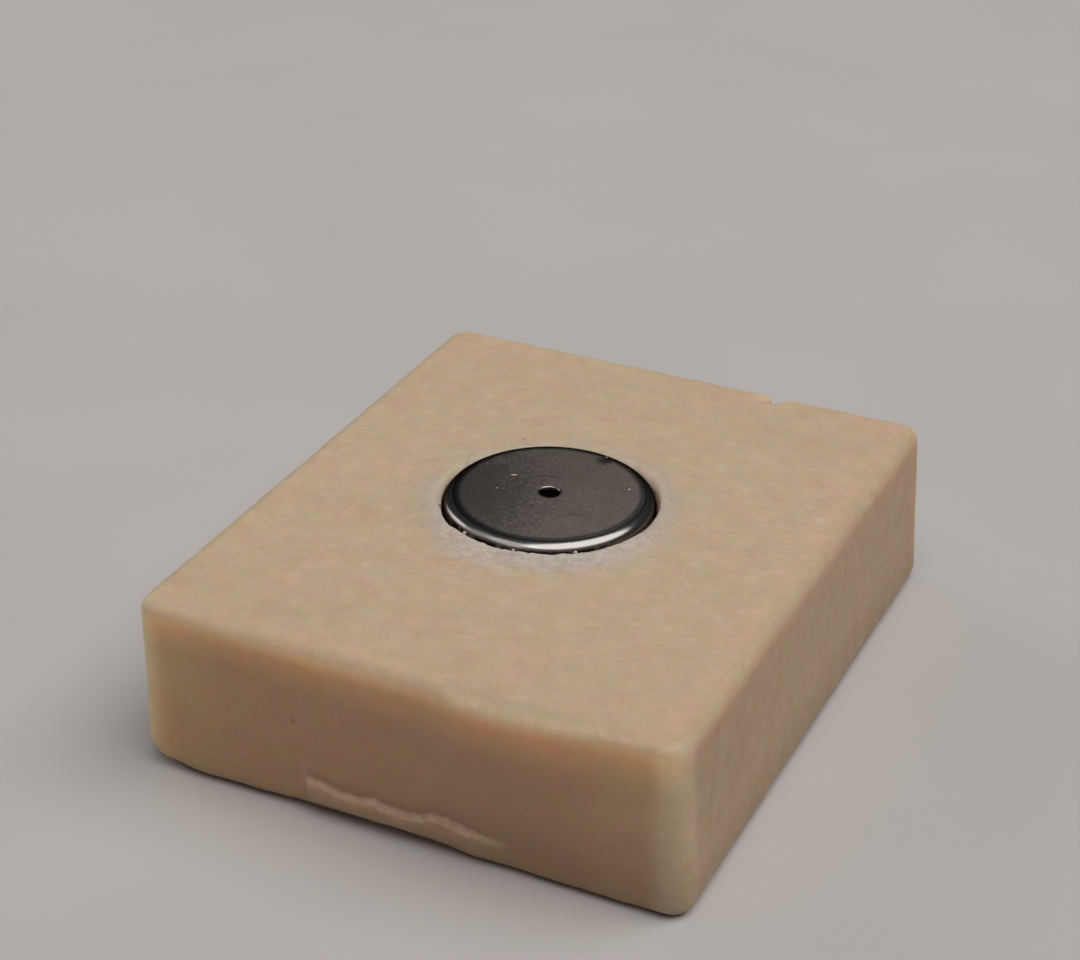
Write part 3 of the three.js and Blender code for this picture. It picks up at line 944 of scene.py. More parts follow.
def build_crumbs(scene):
    settings = scene.crumb_settings
    shape = BarShape(scene.soap_bar_settings, scene.steel_cap_settings)
    tree = soap_tree()
    dice = random.Random(CRUMB_SEED)
    bm = bmesh.new()
    places = [(math.radians(turn), out * MM, size * MM) for turn, out, size in SEEN_CRUMBS]
    for _ in range(settings.lip_crumbs):
        turn = dice.uniform(0, FULL)
        out = shape.slit_outer + abs(dice.gauss(0.9, 1.1)) * MM + 0.35 * MM
        places.append((turn, out, settings.crumb_size * dice.uniform(0.25, 0.75)))
    skirt = scene.steel_cap_settings.diameter / 2
    top = scene.soap_bar_settings.height
    for i, (turn, out, size) in enumerate(places):
        half = size / 2
        out = max(out, skirt + half * 1.3)
        on_brink = out < shape.slit_outer + 0.3 * MM
        x = shape.shift[0] + shape.axis[0] + out * math.cos(turn)
        y = shape.shift[1] + shape.axis[1] + out * math.sin(turn)
        struck, _, _, _ = tree.ray_cast(Vector((x, y, 1.0)), Vector((0, 0, -1)))
        level = struck.z if struck else top
        in_gap = level < top - 0.3 * MM and not on_brink
        bridging = in_gap or on_brink
        if bridging:
            level = top + BRIDGE_RISE
        flat = 0.8 if bridging else dice.uniform(0.3, 0.5)
        long = dice.uniform(1.0, 1.5)
        spin = turn + (0.0 if in_gap else dice.uniform(-1.2, 1.2))
        if on_brink:
            spin = turn + QUARTER
        level = min(level + half * flat * 0.2, bar_high.z - half * flat * 1.7)
        lump(bm, (x, y, level), (half * long, half, half * flat), i * 1.7, spin)
    return finish_lumps(bm, "lip_crumbs")


def build_flakes(scene):
    settings = scene.crumb_settings
    bar = scene.soap_bar_settings
    shape = BarShape(bar, scene.steel_cap_settings)
    tree = soap_tree()
    dice = random.Random(CRUMB_SEED + 1)
    bm = bmesh.new()
    start, end = LEDGE_SHARES
    for i in range(settings.ledge_flakes):
        along = 0.045 + 0.8 * (i + dice.uniform(-0.3, 0.3)) / settings.ledge_flakes
        x = (start + (end - start) * along) * bar.width
        _, top = shape.ledge(np.array([x]))
        z = float(top[0]) + dice.uniform(-0.3, 0.02) * MM
        eye = Vector((x + shape.shift[0], -1.0, z))
        struck, _, _, _ = tree.ray_cast(eye, Vector((0, 1, 0)))
        if struck is None:
            continue
        size = settings.flake_size * dice.uniform(0.3, 0.8) * (1 if along < 0.7 else 0.5)
        y = max(struck.y + 0.04 * MM, bar_low.y + size * 0.4)
        spin = dice.uniform(-0.35, 0.35)
        half = size / 2
        sizes = (half * dice.uniform(1.5, 3.0), half * 0.35, half * dice.uniform(0.2, 0.4))
        lump(bm, (x + shape.shift[0], y, z), sizes, 50 + i * 1.3, spin, dice.uniform(-0.5, 0.3))
    return finish_lumps(bm, "ledge_flakes")


# Flecks of soap on the cap: from the cap's axis in millimetres, half length, half width, turn in degrees
FLECKS = (
    (-5.7, 1.9, 0.42, 0.13, 25),
    (-6.1, -2.0, 0.13, 0.11, 0),
    (8.4, 4.85, 0.17, 0.15, 40),
    (2.6, 11.15, 0.15, 0.1, 0),
    (3.4, -6.6, 0.07, 0.06, 0),
    (-2.2, 6.8, 0.06, 0.05, 0),
    (6.2, -1.7, 0.06, 0.07, 0),
    (-8.6, -3.9, 0.07, 0.05, 10),
)
FLECK_THICKNESS = 0.03 * MM


def build_flecks(scene):
    cap = scene.steel_cap_settings
    flat = cap.diameter / 2 - cap.shoulder_radius
    bm = bmesh.new()
    for i, (x, y, half_long, half_wide, turn) in enumerate(FLECKS):
        out = math.hypot(x, y) * MM
        past_flat = max(out - flat, 0) / cap.shoulder_radius
        crown = cap.crown_drop * min(out / flat, 1) ** 2
        drop = crown + cap.shoulder_radius * (1 - math.sqrt(1 - past_flat**2))
        place = (cap_middle.x + x * MM, cap_middle.y + y * MM, cap_high.z - drop)
        sizes = (half_long * MM, half_wide * MM, min(FLECK_THICKNESS, drop * 0.5))
        lump(bm, place, sizes, 90 + i * 2.1, math.radians(turn))
    return finish_lumps(bm, "cap_flecks")


# Node trees


def put(tree, kind, inputs=None, **settings):
    """Adds a node, changes its own settings and sets or links its inputs."""
    node = tree.nodes.new(kind)
    for name, value in settings.items():
        setattr(node, name, value)
    for key, value in (inputs or {}).items():
        if isinstance(value, bpy.types.NodeSocket):
            tree.links.new(value, node.inputs[key])
        else:
            node.inputs[key].default_value = value
    return node


def sum_up(tree, operation, first, second):
    return put(tree, "ShaderNodeMath", {0: first, 1: second}, operation=operation).outputs[0]


def spread(tree, value, low, high, to_low, to_high, smooth=True):
    kind = "SMOOTHSTEP" if smooth else "LINEAR"
    inputs = {0: value, 1: low, 2: high, 3: to_low, 4: to_high}
    return put(tree, "ShaderNodeMapRange", inputs, interpolation_type=kind).outputs[0]


def tint(tree, part, first, second):
    """Mixes two colours by a mask."""
    return put(tree, "ShaderNodeMix", {0: part, 6: first, 7: second}, data_type="RGBA").outputs[2]


def shifted(tree, part, shade, factors):
    """Multiplies a colour by three factors where a mask says so."""
    inputs = {0: 1.0, 6: shade, 7: opaque(factors)}
    changed = put(tree, "ShaderNodeMix", inputs, data_type="RGBA", blend_type="MULTIPLY")
    return tint(tree, part, shade, changed.outputs[2])


def opaque(rgb):
    return (*rgb, 1.0)


def scaled(rgb, factor):
    return tuple(min(1.0, part * factor) for part in rgb)


def group(name, inputs, output, output_type="NodeSocketFloat"):
    """An empty shader node group with its sockets."""
    tree = bpy.data.node_groups.new(name, "ShaderNodeTree")
    for label, kind, default in inputs:
        socket = tree.interface.new_socket(label, in_out="INPUT", socket_type=kind)
        if default is not None:
            socket.default_value = default
    tree.interface.new_socket(output, in_out="OUTPUT", socket_type=output_type)
    return tree, tree.nodes.new("NodeGroupInput").outputs, tree.nodes.new("NodeGroupOutput").inputs


def use(tree, name, output, **inputs):
    """Places a node group in a tree and gives back the socket of its output."""
    node = tree.nodes.new("ShaderNodeGroup")
    node.node_tree = bpy.data.node_groups[name]
    for label, value in inputs.items():
        socket = node.inputs[label.replace("_", " ").capitalize()]
        if isinstance(value, bpy.types.NodeSocket):
            tree.links.new(value, socket)
        else:
            socket.default_value = value
    return node.outputs[output]


def mottle_group():
    """Cloudy patches: 0 to 1 between two levels of a soft noise."""
    tree, given, result = group(
        "Mottle",
        (
            ("Vector", "NodeSocketVector", None),
            ("Size", "NodeSocketFloat", 0.004),
            ("Detail", "NodeSocketFloat", 2.0),
            ("Low", "NodeSocketFloat", 0.35),
            ("High", "NodeSocketFloat", 0.65),
        ),
        "Mask",
    )
    scale = sum_up(tree, "DIVIDE", 1.0, given["Size"])
    inputs = {"Vector": given["Vector"], "Scale": scale, "Detail": given["Detail"]}
    cloud = put(tree, "ShaderNodeTexNoise", inputs)
    mask = spread(tree, cloud.outputs[0], given["Low"], given["High"], 0.0, 1.0)
    tree.links.new(mask, result["Mask"])


def grain_group():
    """Fine surface grain as a height in metres."""
    tree, given, result = group(
        "Grain",
        (
            ("Vector", "NodeSocketVector", None),
            ("Size", "NodeSocketFloat", 0.0004),
            ("Depth", "NodeSocketFloat", 0.00001),
            ("Roughness", "NodeSocketFloat", 0.6),
        ),
        "Height",
    )
    scale = sum_up(tree, "DIVIDE", 1.0, given["Size"])
    inputs = {"Vector": given["Vector"], "Scale": scale, "Detail": 4.0, "Roughness": given["Roughness"]}
    cloud = put(tree, "ShaderNodeTexNoise", inputs)
    tree.links.new(sum_up(tree, "MULTIPLY", cloud.outputs[0], given["Depth"]), result["Height"])


def along_turn(tree, place, turn, given):
    """A place turned about Z, then counted in lengths along that turn and in widths across it."""
    turned = put(tree, "ShaderNodeVectorRotate", {"Vector": place, "Angle": turn}, rotation_type="Z_AXIS")
    along = sum_up(tree, "DIVIDE", 1.0, given["Long"])
    across = sum_up(tree, "DIVIDE", 1.0, given["Wide"])
    counts = put(tree, "ShaderNodeCombineXYZ", {0: along, 1: across, 2: across})
    inputs = {0: turned.outputs[0], 1: counts.outputs[0]}
    return put(tree, "ShaderNodeVectorMath", inputs, operation="MULTIPLY").outputs[0]


def drag_group():
    """Lines left by rolling, brushing or a wire, running along one direction, from 0 to 1."""
    tree, given, result = group(
        "Drag lines",
        (
            ("Vector", "NodeSocketVector", None),
            ("Turn", "NodeSocketFloat", 0.0),
            ("Long", "NodeSocketFloat", 0.006),
            ("Wide", "NodeSocketFloat", 0.0001),
        ),
        "Mask",
    )
    placed = along_turn(tree, given["Vector"], given["Turn"], given)
    lines = put(tree, "ShaderNodeTexNoise", {"Vector": placed, "Scale": 1.0, "Detail": 3.0})
    tree.links.new(lines.outputs[0], result["Mask"])


def scuff_group():
    """One ragged streak or patch, lying at a place: 1 in its middle, 0 round it."""
    tree, given, result = group(
        "Scuff",
        (
            ("Vector", "NodeSocketVector", None),
            ("Place", "NodeSocketVector", None),
            ("Turn", "NodeSocketFloat", 0.0),
            ("Long", "NodeSocketFloat", 0.002),
            ("Wide", "NodeSocketFloat", 0.0004),
        ),
        "Mask",
    )
    inputs = {0: given["Vector"], 1: given["Place"]}
    away = put(tree, "ShaderNodeVectorMath", inputs, operation="SUBTRACT").outputs[0]
    back = sum_up(tree, "MULTIPLY", given["Turn"], -1.0)
    placed = along_turn(tree, away, back, given)
    far = put(tree, "ShaderNodeVectorMath", {0: placed}, operation="LENGTH")
    cloud = put(tree, "ShaderNodeTexNoise", {"Vector": given["Vector"], "Scale": 1800.0, "Detail": 3.0})
    ragged = sum_up(tree, "MULTIPLY_ADD", cloud.outputs[0], 1.6)
    ragged.node.inputs[2].default_value = -0.8
    total = sum_up(tree, "ADD", far.outputs["Value"], ragged)
    tree.links.new(spread(tree, total, 1.0, 0.35, 0.0, 1.0), result["Mask"])


# Materials


def new_material(name):
    material = bpy.data.materials.new(name)
    material.use_nodes = True
    tree = material.node_tree
    tree.nodes.clear()
    shader = tree.nodes.new("ShaderNodeBsdfPrincipled")
    output = tree.nodes.new("ShaderNodeOutputMaterial")
    tree.links.new(shader.outputs[0], output.inputs[0])
    where = tree.nodes.new("ShaderNodeTexCoord").outputs["Object"]
    return material, tree, shader, where


def mask_of(tree, label):
    return put(tree, "ShaderNodeAttribute", attribute_name=label).outputs["Fac"]


def roughen(tree, shader, height):
    """Gives the surface a fine relief from a height in metres."""
    bump = put(tree, "ShaderNodeBump", {"Height": height, "Strength": 1.0, "Distance": 1.0})
    tree.links.new(bump.outputs[0], shader.inputs["Normal"])


def marked(tree, where, marks, origin):
    """The strongest of a table's marks at each point, with their places measured from an origin."""
    strongest = None
    for x, y, z, half_long, half_wide, turn, strength in marks:
        mark = use(
            tree,
            "Scuff",
            "Mask",
            vector=where,
            place=(origin[0] + x * MM, origin[1] + y * MM, origin[2] + z * MM),
            turn=math.radians(turn),
            long=half_long * MM,
            wide=half_wide * MM,
        )
        mark = sum_up(tree, "MULTIPLY", mark, strength)
        strongest = mark if strongest is None else sum_up(tree, "MAXIMUM", strongest, mark)
    return strongest


# Streaks and dull patches: x, y, z from under the bar, half length, half width in mm, degrees, strength
SCUFFS = (
    (-15.2, 1.1, 22, 1.9, 0.28, 20, 0.7),
    (-21.5, 4.9, 22, 1.3, 0.22, -15, 0.6),
    (14.8, 17.6, 22, 2.2, 0.26, -12, 0.7),
    (12.7, 24.8, 22, 2.6, 0.24, -5, 0.7),
    (17.7, 23.4, 22, 1.6, 0.3, -20, 0.5),
    (3.7, -30.2, 22, 1.9, 0.22, 12, 0.8),
    (1.2, -16.0, 22, 2.2, 1.2, 0, 0.4),
    (30.2, 11.4, 22, 1.1, 0.9, 30, 0.6),
    (-16.5, -31.7, 22, 1.4, 0.3, 35, 0.45),
    (20.6, -3.7, 22, 1.5, 0.4, 60, 0.45),
    (-19.4, -40.5, 5.6, 0.6, 0.55, 0, 0.5),
)
# How far red, green and blue light wander inside the soap, against its glow depth, and how glossy it is
SUBSURFACE_RADII = (1.0, 0.5, 0.25)
SOAP_IOR = 1.45
SOAP_SPECULAR = 0.4

# Red, green and blue factors by which each part of the soap differs from the colour round it
PINK_SHIFT = (1.02, 0.975, 0.985)
STRAW_SHIFT = (0.99, 1.015, 0.94)
STREAK_SHIFT = (1.05, 1.055, 1.07)
SCUFF_SHIFT = (1.15, 1.22, 1.38)
# Squeezed soap: its own grey, with painted shade darkening the lip round the cap
SQUEEZED_AND_SHADE_SHIFT = (0.84, 0.925, 1.17)
FLAKY_SHIFT = (1.17, 1.19, 1.22)
TORN_SHIFT = (1.13, 1.24, 1.4)

# The same for the parts of its faces that have a mask of their own; the glow, the edge shade and the shade
# along the foot, the ledge and the right face are painted light and painted shade
FACE_SHIFTS = (
    ("film", (0.9, 1.0, 1.02)),
    ("painted_edge_shade", (0.82, 0.87, 0.86)),
    ("painted_glow", (1.24, 1.27, 1.12)),
    ("yellow_ends", (1.06, 1.18, 1.13)),
    ("painted_shade", (0.76, 0.72, 0.68)),
)

# Lighter clouds, darker clouds and specks: size in mm, detail, the noise's two levels, and factors
FINE_CLOUDS = (
    (2.4, 3.0, 0.42, 0.72, (1.075, 1.075, 1.085)),
    (3.4, 3.0, 0.48, 0.74, (0.945, 0.935, 0.925)),
    (0.7, 1.0, 0.4, 0.62, (1.035, 1.035, 1.035)),
)

# How far off the other clouds are taken from the noise, so that they don't repeat the first ones
CLOUD_STEP = (0.31, 0.12, 0.05)
SOAP_STREAK_TURN = math.radians(25)


def soap_colour(tree, where, bar, scuffs):
    """The colour of the soap's faces, before what the cap and the tearing did to it."""
    moved = put(tree, "ShaderNodeVectorMath", {0: where, 1: CLOUD_STEP}, operation="ADD").outputs[0]
    shade = tint(tree, mask_of(tree, "dried"), opaque(bar.soap_colour), opaque(bar.dried_colour))

    # Broad clouds of hue, then finer light and dark
    pink = use(tree, "Mottle", "Mask", vector=where, size=bar.mottle_size, low=0.42, high=0.62)
    shade = shifted(tree, pink, shade, PINK_SHIFT)
    straw = use(tree, "Mottle", "Mask", vector=moved, size=bar.mottle_size * 0.7, low=0.45, high=0.66)
    shade = shifted(tree, straw, shade, STRAW_SHIFT)
    strength = spread(tree, mask_of(tree, "dried"), 0.0, 1.0, 0.6, 1.0)
    for place, (size, detail, low, high, factors) in zip((where, moved, moved), FINE_CLOUDS):
        cloud = use(tree, "Mottle", "Mask", vector=place, size=size * MM, detail=detail, low=low, high=high)
        shade = shifted(tree, sum_up(tree, "MULTIPLY", cloud, strength), shade, factors)
    streaks = use(
        tree, "Drag lines", "Mask", vector=where, turn=-SOAP_STREAK_TURN, long=1.6 * MM, wide=0.42 * MM
    )
    streaks = spread(tree, streaks, 0.4, 0.66, 0.0, 1.0)
    streaks = sum_up(tree, "MULTIPLY", streaks, mask_of(tree, "streaked"))
    shade = shifted(tree, streaks, shade, STREAK_SHIFT)
    for label, factors in FACE_SHIFTS:
        shade = shifted(tree, mask_of(tree, label), shade, factors)
    return shifted(tree, scuffs, shade, SCUFF_SHIFT)


def soap_material(scene):
    bar = scene.soap_bar_settings
    shape = BarShape(bar, scene.steel_cap_settings)
    material, tree, shader, where = new_material("Cut soap")
    shade = soap_colour(tree, where, bar, marked(tree, where, SCUFFS, shape.shift))

    # Squeezed soap goes greyish and a little darker, partly its own grey and partly painted shade round the
    # cap; torn soap goes pale; the steel stains what it touches, and the slit and the plug are painted dark
    # as shade
    ragged = use(tree, "Mottle", "Mask", vector=where, size=1.2 * MM, detail=4.0, low=0.3, high=0.62)
    patchy = spread(tree, ragged, 0.0, 1.0, 0.55, 1.0)
    squeezed = sum_up(tree, "MULTIPLY", mask_of(tree, "squeezed"), patchy)
    shade = shifted(tree, squeezed, shade, SQUEEZED_AND_SHADE_SHIFT)
    flaky = use(tree, "Mottle", "Mask", vector=where, size=0.8 * MM, detail=4.0, low=0.36, high=0.6)
    flaky = sum_up(tree, "MULTIPLY", mask_of(tree, "flaky"), flaky)
    shade = shifted(tree, flaky, shade, FLAKY_SHIFT)
    torn = sum_up(tree, "MULTIPLY", mask_of(tree, "torn"), patchy)
    shade = shifted(tree, torn, shade, TORN_SHIFT)
    shade = tint(tree, mask_of(tree, "stain_and_shade"), shade, opaque(bar.stain_and_shade_colour))
    tree.links.new(shade, shader.inputs["Base Color"])

    # Duller and rougher where it was squeezed or torn
    roughened = sum_up(tree, "MAXIMUM", squeezed, torn)
    gloss = use(tree, "Mottle", "Mask", vector=where, size=3 * MM, low=0.3, high=0.7)
    gloss = spread(tree, gloss, 0.0, 1.0, 0.46, 0.58)
    gloss = sum_up(tree, "ADD", gloss, sum_up(tree, "MULTIPLY", roughened, 0.2))
    tree.links.new(gloss, shader.inputs["Roughness"])
    pebble = use(tree, "Grain", "Height", vector=where, size=0.7 * MM, depth=0.09 * MM)
    grit = use(tree, "Grain", "Height", vector=where, size=0.2 * MM, depth=0.016 * MM)
    ruffle = use(tree, "Grain", "Height", vector=where, size=0.5 * MM, depth=0.1 * MM, roughness=0.7)
    height = sum_up(tree, "ADD", pebble, grit)
    height = sum_up(tree, "ADD", height, sum_up(tree, "MULTIPLY", ruffle, roughened))
    roughen(tree, shader, height)

    # Light wanders less where it is rough, stained or painted dark as shade
    waxy = sum_up(tree, "MAXIMUM", roughened, mask_of(tree, "stain_and_shade"))
    tree.links.new(spread(tree, waxy, 0.0, 1.0, 0.95, 0.35), shader.inputs["Subsurface Weight"])
    shader.inputs["Subsurface Radius"].default_value = SUBSURFACE_RADII
    shader.inputs["Subsurface Scale"].default_value = bar.glow_depth
    shader.inputs["IOR"].default_value = SOAP_IOR
    shader.inputs["Specular IOR Level"].default_value = SOAP_SPECULAR
    return material


def crumb_material(name, shade_of_crumbs):
    material, tree, shader, where = new_material(name)
    patches = use(tree, "Mottle", "Mask", vector=where, size=0.5 * MM, low=0.35, high=0.65)
    shade = tint(tree, patches, opaque(shade_of_crumbs), opaque(scaled(shade_of_crumbs, 1.15)))
    tree.links.new(shade, shader.inputs["Base Color"])
    roughen(tree, shader, use(tree, "Grain", "Height", vector=where, size=0.15 * MM, depth=0.02 * MM))
    tree.links.new(spread(tree, patches, 0.0, 1.0, 0.55, 0.75), shader.inputs["Roughness"])
    return material


# Smears on the cap's disc, the last a broad painted shade over its left part: x, y, z from its middle, half
# length, half width in mm, degrees, and how dark
SMEARS_AND_SHADE = (
    (2.7, 10.2, 0, 1.15, 1.25, 25, 0.85),
    (-2.4, 3.1, 0, 2.4, 0.5, 25, 0.25),
    (5.2, -3.6, 0, 2.0, 0.6, 20, 0.2),
    # Painted shade: darkens the left of the disc, where it reflects darker surroundings
    (-10.0, -4.7, 0, 16.0, 13.0, 115, 0.45),
)
BRUSH_TURN = math.radians(25)

# Red, green and blue factors by which each part of the steel differs from the colour round it
TARNISH_SHIFT = (1.1, 1.09, 1.08)
BRUSHED_SHIFT = (1.06, 1.06, 1.06)
SPECKLE_SHIFT = (1.27, 1.25, 1.24)
SMEAR_AND_SHADE_SHIFT = (0.3, 0.32, 0.34)
DARK_REFLECTION_SHIFT = (0.38, 0.42, 0.46)

# The smooth drawn skirt's roughness, and the height of the brushed lines on the disc
DRAWN_ROUGHNESS = 0.19
LINE_HEIGHT = 0.0018 * MM

# The filmed-over steel stays dark where it is seen at a low angle
DULL_EDGE = (0.12, 0.12, 0.12)


def steel_material(scene):
    cap = scene.steel_cap_settings
    material, tree, shader, where = new_material("Drawn steel")
    bent = mask_of(tree, "bent")
    clouds = use(tree, "Mottle", "Mask", vector=where, size=3 * MM, detail=3.0, low=0.35, high=0.7)
    shade = shifted(tree, clouds, opaque(cap.steel_colour), TARNISH_SHIFT)
    lines = use(tree, "Drag lines", "Mask", vector=where, turn=-BRUSH_TURN, long=3.5 * MM, wide=0.13 * MM)
    shade = shifted(tree, spread(tree, lines, 0.45, 0.75, 0.0, 1.0), shade, BRUSHED_SHIFT)
    speckle = use(tree, "Mottle", "Mask", vector=where, size=0.28 * MM, detail=2.0, low=0.4, high=0.62)
    shade = shifted(tree, speckle, shade, SPECKLE_SHIFT)
    smears_and_shade = marked(tree, where, SMEARS_AND_SHADE, (cap_middle.x, cap_middle.y, cap_high.z))
    shade = shifted(tree, smears_and_shade, shade, SMEAR_AND_SHADE_SHIFT)

    # A painted dark reflection in a ring where the disc starts to bend, and a smoother band below it
    bending = spread(tree, bent, -0.3, 0.02, 0.0, 1.0)
    ring = sum_up(tree, "MULTIPLY", bending, spread(tree, bent, 0.28, 0.42, 1.0, 0.0))
    shade = shifted(tree, ring, shade, DARK_REFLECTION_SHIFT)
    drawn = spread(tree, bent, 0.1, 0.55, 0.0, 1.0)
    shade = tint(tree, spread(tree, bent, 0.28, 0.42, 0.0, 1.0), shade, opaque(cap.burnished_colour))
    blotches = use(tree, "Mottle", "Mask", vector=where, size=1.2 * MM, detail=3.0, low=0.25, high=0.5)
    gap_shade = sum_up(tree, "MULTIPLY", mask_of(tree, "gap_shade"), blotches)
    shade = tint(tree, gap_shade, shade, opaque(cap.gap_shade_colour))
    tree.links.new(shade, shader.inputs["Base Color"])

    # Satin on the disc, duller under the smears and the painted shade on the disc and under the painted gap
    # shade, and smoother where it was drawn
    matt = spread(tree, lines, 0.3, 0.7, 0.23, 0.28)
    matt = sum_up(tree, "ADD", matt, sum_up(tree, "MULTIPLY", smears_and_shade, 0.12))
    inputs = {0: drawn, 2: matt, 3: DRAWN_ROUGHNESS}
    matt = put(tree, "ShaderNodeMix", inputs, data_type="FLOAT").outputs[0]
    matt = sum_up(tree, "ADD", matt, sum_up(tree, "MULTIPLY", gap_shade, 0.3))
    tree.links.new(matt, shader.inputs["Roughness"])
    grain = use(tree, "Grain", "Height", vector=where, size=0.2 * MM, depth=0.007 * MM)
    ridges = sum_up(tree, "MULTIPLY", lines, LINE_HEIGHT)
    rough_disc = sum_up(tree, "ADD", grain, ridges)
    roughen(tree, shader, sum_up(tree, "MULTIPLY", rough_disc, sum_up(tree, "SUBTRACT", 1.0, drawn)))
    shader.inputs["Metallic"].default_value = 1.0
    shader.inputs["Specular Tint"].default_value = opaque(DULL_EDGE)
    return material


def floor_material(scene):
    stage = scene.stage_settings
    material, tree, shader, where = new_material("Pale floor")
    clouds = use(tree, "Mottle", "Mask", vector=where, size=50 * MM, low=0.3, high=0.7)
    shade = tint(tree, clouds, opaque(stage.floor_colour), opaque(scaled(stage.floor_colour, 1.03)))
    tree.links.new(shade, shader.inputs["Base Color"])
    roughen(tree, shader, use(tree, "Grain", "Height", vector=where, size=2 * MM, depth=0.06 * MM))
    shader.inputs["Roughness"].default_value = 0.9
    shader.inputs["Specular IOR Level"].default_value = 0.2
    return material


# Stage

# The photograph's view: the camera's azimuth, elevation and roll, how far it stands and what it looks at
VIEW_AZIMUTH = math.radians(25.1)
VIEW_ELEVATION = math.radians(29.05)
VIEW_ROLL = math.radians(0.6)
VIEW_DISTANCE = 0.29
VIEW_TARGET = Vector((-4.835 * MM, 6.2 * MM, 22 * MM))
LENS = 78.67
SENSOR_WIDTH = 36.0

# Light from the surroundings: near the horizon and high up, in front of the bar and behind it
FRONT_HORIZON_LIGHT = (0.31, 0.308, 0.306)
BACK_HORIZON_LIGHT = (0.1, 0.1, 0.1)
FRONT_LIGHT = (0.15, 0.15, 0.153)
BACK_LIGHT = (0.085, 0.087, 0.091)
HORIZON_HEIGHTS = (0.05, 0.33)

# Height of the main softbox's oval face against its width
KEY_FLATNESS = 0.5

# Squares along each side of the floor
FLOOR_SQUARES = 24

# What every lamp looks at, and the lamps' tones
LAMP_TARGET = Vector((0, 0, 20 * MM))
KEY_TONE = (1.0, 0.985, 0.965)
WHITE_TONE = (1.0, 0.98, 0.95)
WARM_TONE = (1.0, 0.92, 0.86)


def direction(azimuth, elevation):
    return Vector(
        (
            math.sin(azimuth) * math.cos(elevation),
            -math.cos(azimuth) * math.cos(elevation),
            math.sin(elevation),
        )
    )


def softbox(
    name,
    place,
    face_size,
    radiance,
    tone=WHITE_TONE,
    shape="RECTANGLE",
    roll=0.0,
    lights=False,
    mirrored=True,
):
    """A soft lamp that looks at the bar. Its place is azimuth and elevation in degrees, and distance."""
    azimuth, elevation, distance = place
    width, height = face_size
    lamp = bpy.data.lights.new(name, "AREA")
    lamp.shape = shape
    lamp.size = width
    lamp.size_y = height
    face = width * height * (math.pi / 4 if shape == "ELLIPSE" else 1)
    lamp.energy = radiance * math.pi * face
    lamp.color = tone
    holder = bpy.data.objects.new(name, lamp)
    back = direction(math.radians(azimuth), math.radians(elevation))
    holder.location = LAMP_TARGET + back * distance
    holder.rotation_mode = "QUATERNION"
    holder.rotation_quaternion = back.to_track_quat("Z", "Y") @ Quaternion((0, 0, 1), math.radians(roll))
    holder.visible_diffuse = lights
    holder.visible_glossy = mirrored
    bpy.context.scene.collection.objects.link(holder)


def build_camera(scene):
    back = direction(VIEW_AZIMUTH, VIEW_ELEVATION)
    level_right = Vector((math.cos(VIEW_AZIMUTH), math.sin(VIEW_AZIMUTH), 0))
    level_up = back.cross(level_right)
    right = level_right * math.cos(VIEW_ROLL) + level_up * math.sin(VIEW_ROLL)
    up = level_up * math.cos(VIEW_ROLL) - level_right * math.sin(VIEW_ROLL)
    lens = bpy.data.cameras.new("photo_view")
    lens.lens = LENS
    lens.sensor_width = SENSOR_WIDTH
    lens.sensor_fit = "HORIZONTAL"
    lens.clip_start = 0.01
    camera = bpy.data.objects.new("photo_view", lens)
    turned = Matrix((right, up, back)).transposed().to_4x4()
    camera.matrix_world = Matrix.Translation(VIEW_TARGET + back * VIEW_DISTANCE) @ turned
    scene.collection.objects.link(camera)
    scene.camera = camera


def build_world(scene):
    world = bpy.data.worlds.new("Soft surroundings")
    scene.world = world
    world.use_nodes = True
    tree = world.node_tree
    tree.nodes.clear()
    towards = tree.nodes.new("ShaderNodeTexCoord").outputs["Generated"]
    parts = put(tree, "ShaderNodeSeparateXYZ", {0: towards}).outputs
    behind = spread(tree, parts[1], -0.5, 0.3, 0.0, 1.0)
    upper = tint(tree, behind, opaque(FRONT_LIGHT), opaque(BACK_LIGHT))
    horizon = tint(tree, behind, opaque(FRONT_HORIZON_LIGHT), opaque(BACK_HORIZON_LIGHT))
    shade = tint(tree, spread(tree, parts[2], *HORIZON_HEIGHTS, 0.0, 1.0), horizon, upper)
    background = put(tree, "ShaderNodeBackground", {"Color": shade, "Strength": 1.0})
    output = tree.nodes.new("ShaderNodeOutputWorld")
    tree.links.new(background.outputs[0], output.inputs[0])


def build_floor(scene):
    """A level floor of squares under the bar."""
    half = scene.stage_settings.floor_size / 2
    bm = bmesh.new()
    bmesh.ops.create_grid(bm, x_segments=FLOOR_SQUARES, y_segments=FLOOR_SQUARES, size=half)
    mesh = bpy.data.meshes.new("pale_floor")
    bm.to_mesh(mesh)
    bm.free()
    floor = bpy.data.objects.new("pale_floor", mesh)
    scene.collection.objects.link(floor)
    mesh.materials.append(floor_material(scene))


# Operators


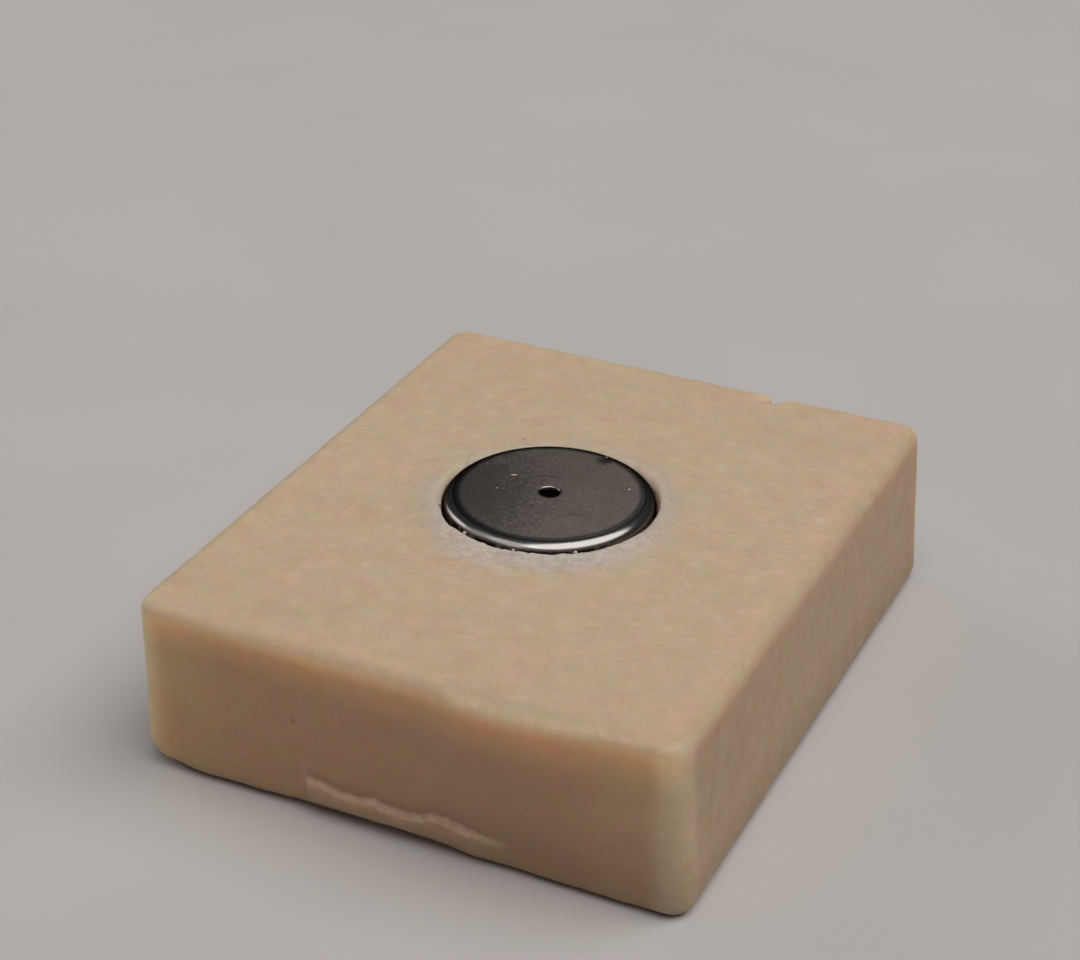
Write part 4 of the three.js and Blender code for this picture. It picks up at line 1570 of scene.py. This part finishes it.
class SOAPHOLDER_OT_stage(bpy.types.Operator):
    """Make the camera, the pale floor and the soft studio light"""

    bl_idname = "soapholder.stage"
    bl_label = "Stage"

    def execute(self, context):
        scene = context.scene
        build_camera(scene)
        build_world(scene)
        build_floor(scene)
        stage = scene.stage_settings
        key_face = (stage.key_width, stage.key_width * KEY_FLATNESS)
        key_place = (88, 69.4, stage.key_reach)
        softbox("key", key_place, key_face, 3.3, KEY_TONE, "ELLIPSE", roll=-30, lights=True)
        softbox("left_fill", (-100, 22, 2.5), (1.8, 1.2), 1.6, lights=True, mirrored=False)
        softbox("near_left_rim", (-34, 57, 0.7), (0.44, 0.37), 1.4)
        softbox("left_rim", (-70, 41, 0.7), (0.25, 0.45), 0.75)
        softbox("low_left_rim", (-97, 11.5, 0.7), (0.6, 0.17), 2.8, roll=55)
        softbox("disc", (198, 38, 0.9), (0.3, 0.42), 0.5, WARM_TONE)
        scene.view_settings.view_transform = "Standard"
        return {"FINISHED"}


class SOAPHOLDER_OT_soap_bar(bpy.types.Operator):
    """Build the hand-cut bar with the slit, the pushed-up lip and the torn ledge"""

    bl_idname = "soapholder.soap_bar"
    bl_label = "Soap bar"

    def execute(self, context):
        mesh = build_soap(context.scene)
        place_piece("hand_cut_bar", mesh, "bar", soap_material(context.scene), "soap_bar")
        return {"FINISHED"}


class SOAPHOLDER_OT_steel_cap(bpy.types.Operator):
    """Build the drawn steel cap with its vent hole, shoulder and toothed skirt"""

    bl_idname = "soapholder.steel_cap"
    bl_label = "Steel cap"

    def execute(self, context):
        mesh = build_cap(context.scene)
        place_piece("drawn_cap", mesh, "cap", steel_material(context.scene), "steel_cap")
        return {"FINISHED"}


class SOAPHOLDER_OT_crumbs(bpy.types.Operator):
    """Scatter the crumbs on the lip, the flakes on the ledge and the flecks on the cap"""

    bl_idname = "soapholder.crumbs"
    bl_label = "Crumbs and flecks"

    def execute(self, context):
        scene = context.scene
        bar = scene.soap_bar_settings
        material = crumb_material("Soap crumbs", bar.crumb_colour)
        # The flakes get a darker copy of the crumbs' material: painted shade
        shaded_flake_material = crumb_material("Soap flakes", bar.shaded_flake_colour)
        place_piece("lip_crumbs", build_crumbs(scene), "bar", material)
        place_piece("ledge_flakes", build_flakes(scene), "bar", shaded_flake_material)
        place_piece("cap_flecks", build_flecks(scene), "cap", material)
        return {"FINISHED"}


OPERATORS = (
    SOAPHOLDER_OT_stage,
    SOAPHOLDER_OT_soap_bar,
    SOAPHOLDER_OT_steel_cap,
    SOAPHOLDER_OT_crumbs,
)


class SOAPHOLDER_PT_pieces(bpy.types.Panel):
    """Lists the pieces and their sizes"""

    bl_idname = "SOAPHOLDER_PT_pieces"
    bl_label = "Soap holder"
    bl_space_type = "VIEW_3D"
    bl_region_type = "UI"
    bl_category = "Soap holder"

    def draw(self, context):
        for operator in OPERATORS:
            self.layout.operator(operator.bl_idname)
        for name in SETTINGS:
            settings = getattr(context.scene, name)
            column = self.layout.column(align=True)
            for label in settings.bl_rna.properties.keys():
                if label not in ("rna_type", "name"):
                    column.prop(settings, label)


SETTINGS = {
    "soap_bar_settings": SoapBarSettings,
    "steel_cap_settings": SteelCapSettings,
    "crumb_settings": CrumbSettings,
    "stage_settings": StageSettings,
}


def register():
    for settings in SETTINGS.values():
        bpy.utils.register_class(settings)
    for operator in OPERATORS:
        bpy.utils.register_class(operator)
    bpy.utils.register_class(SOAPHOLDER_PT_pieces)
    for name, settings in SETTINGS.items():
        setattr(bpy.types.Scene, name, bpy.props.PointerProperty(type=settings))


def unregister():
    for name in SETTINGS:
        delattr(bpy.types.Scene, name)
    bpy.utils.unregister_class(SOAPHOLDER_PT_pieces)
    for operator in reversed(OPERATORS):
        bpy.utils.unregister_class(operator)
    for settings in SETTINGS.values():
        bpy.utils.unregister_class(settings)


def main():
    register()
    mottle_group()
    grain_group()
    drag_group()
    scuff_group()
    bpy.ops.soapholder.stage()
    bpy.ops.soapholder.soap_bar()
    bpy.ops.soapholder.steel_cap()
    bpy.ops.soapholder.crumbs()


if __name__ == "__main__":
    main()
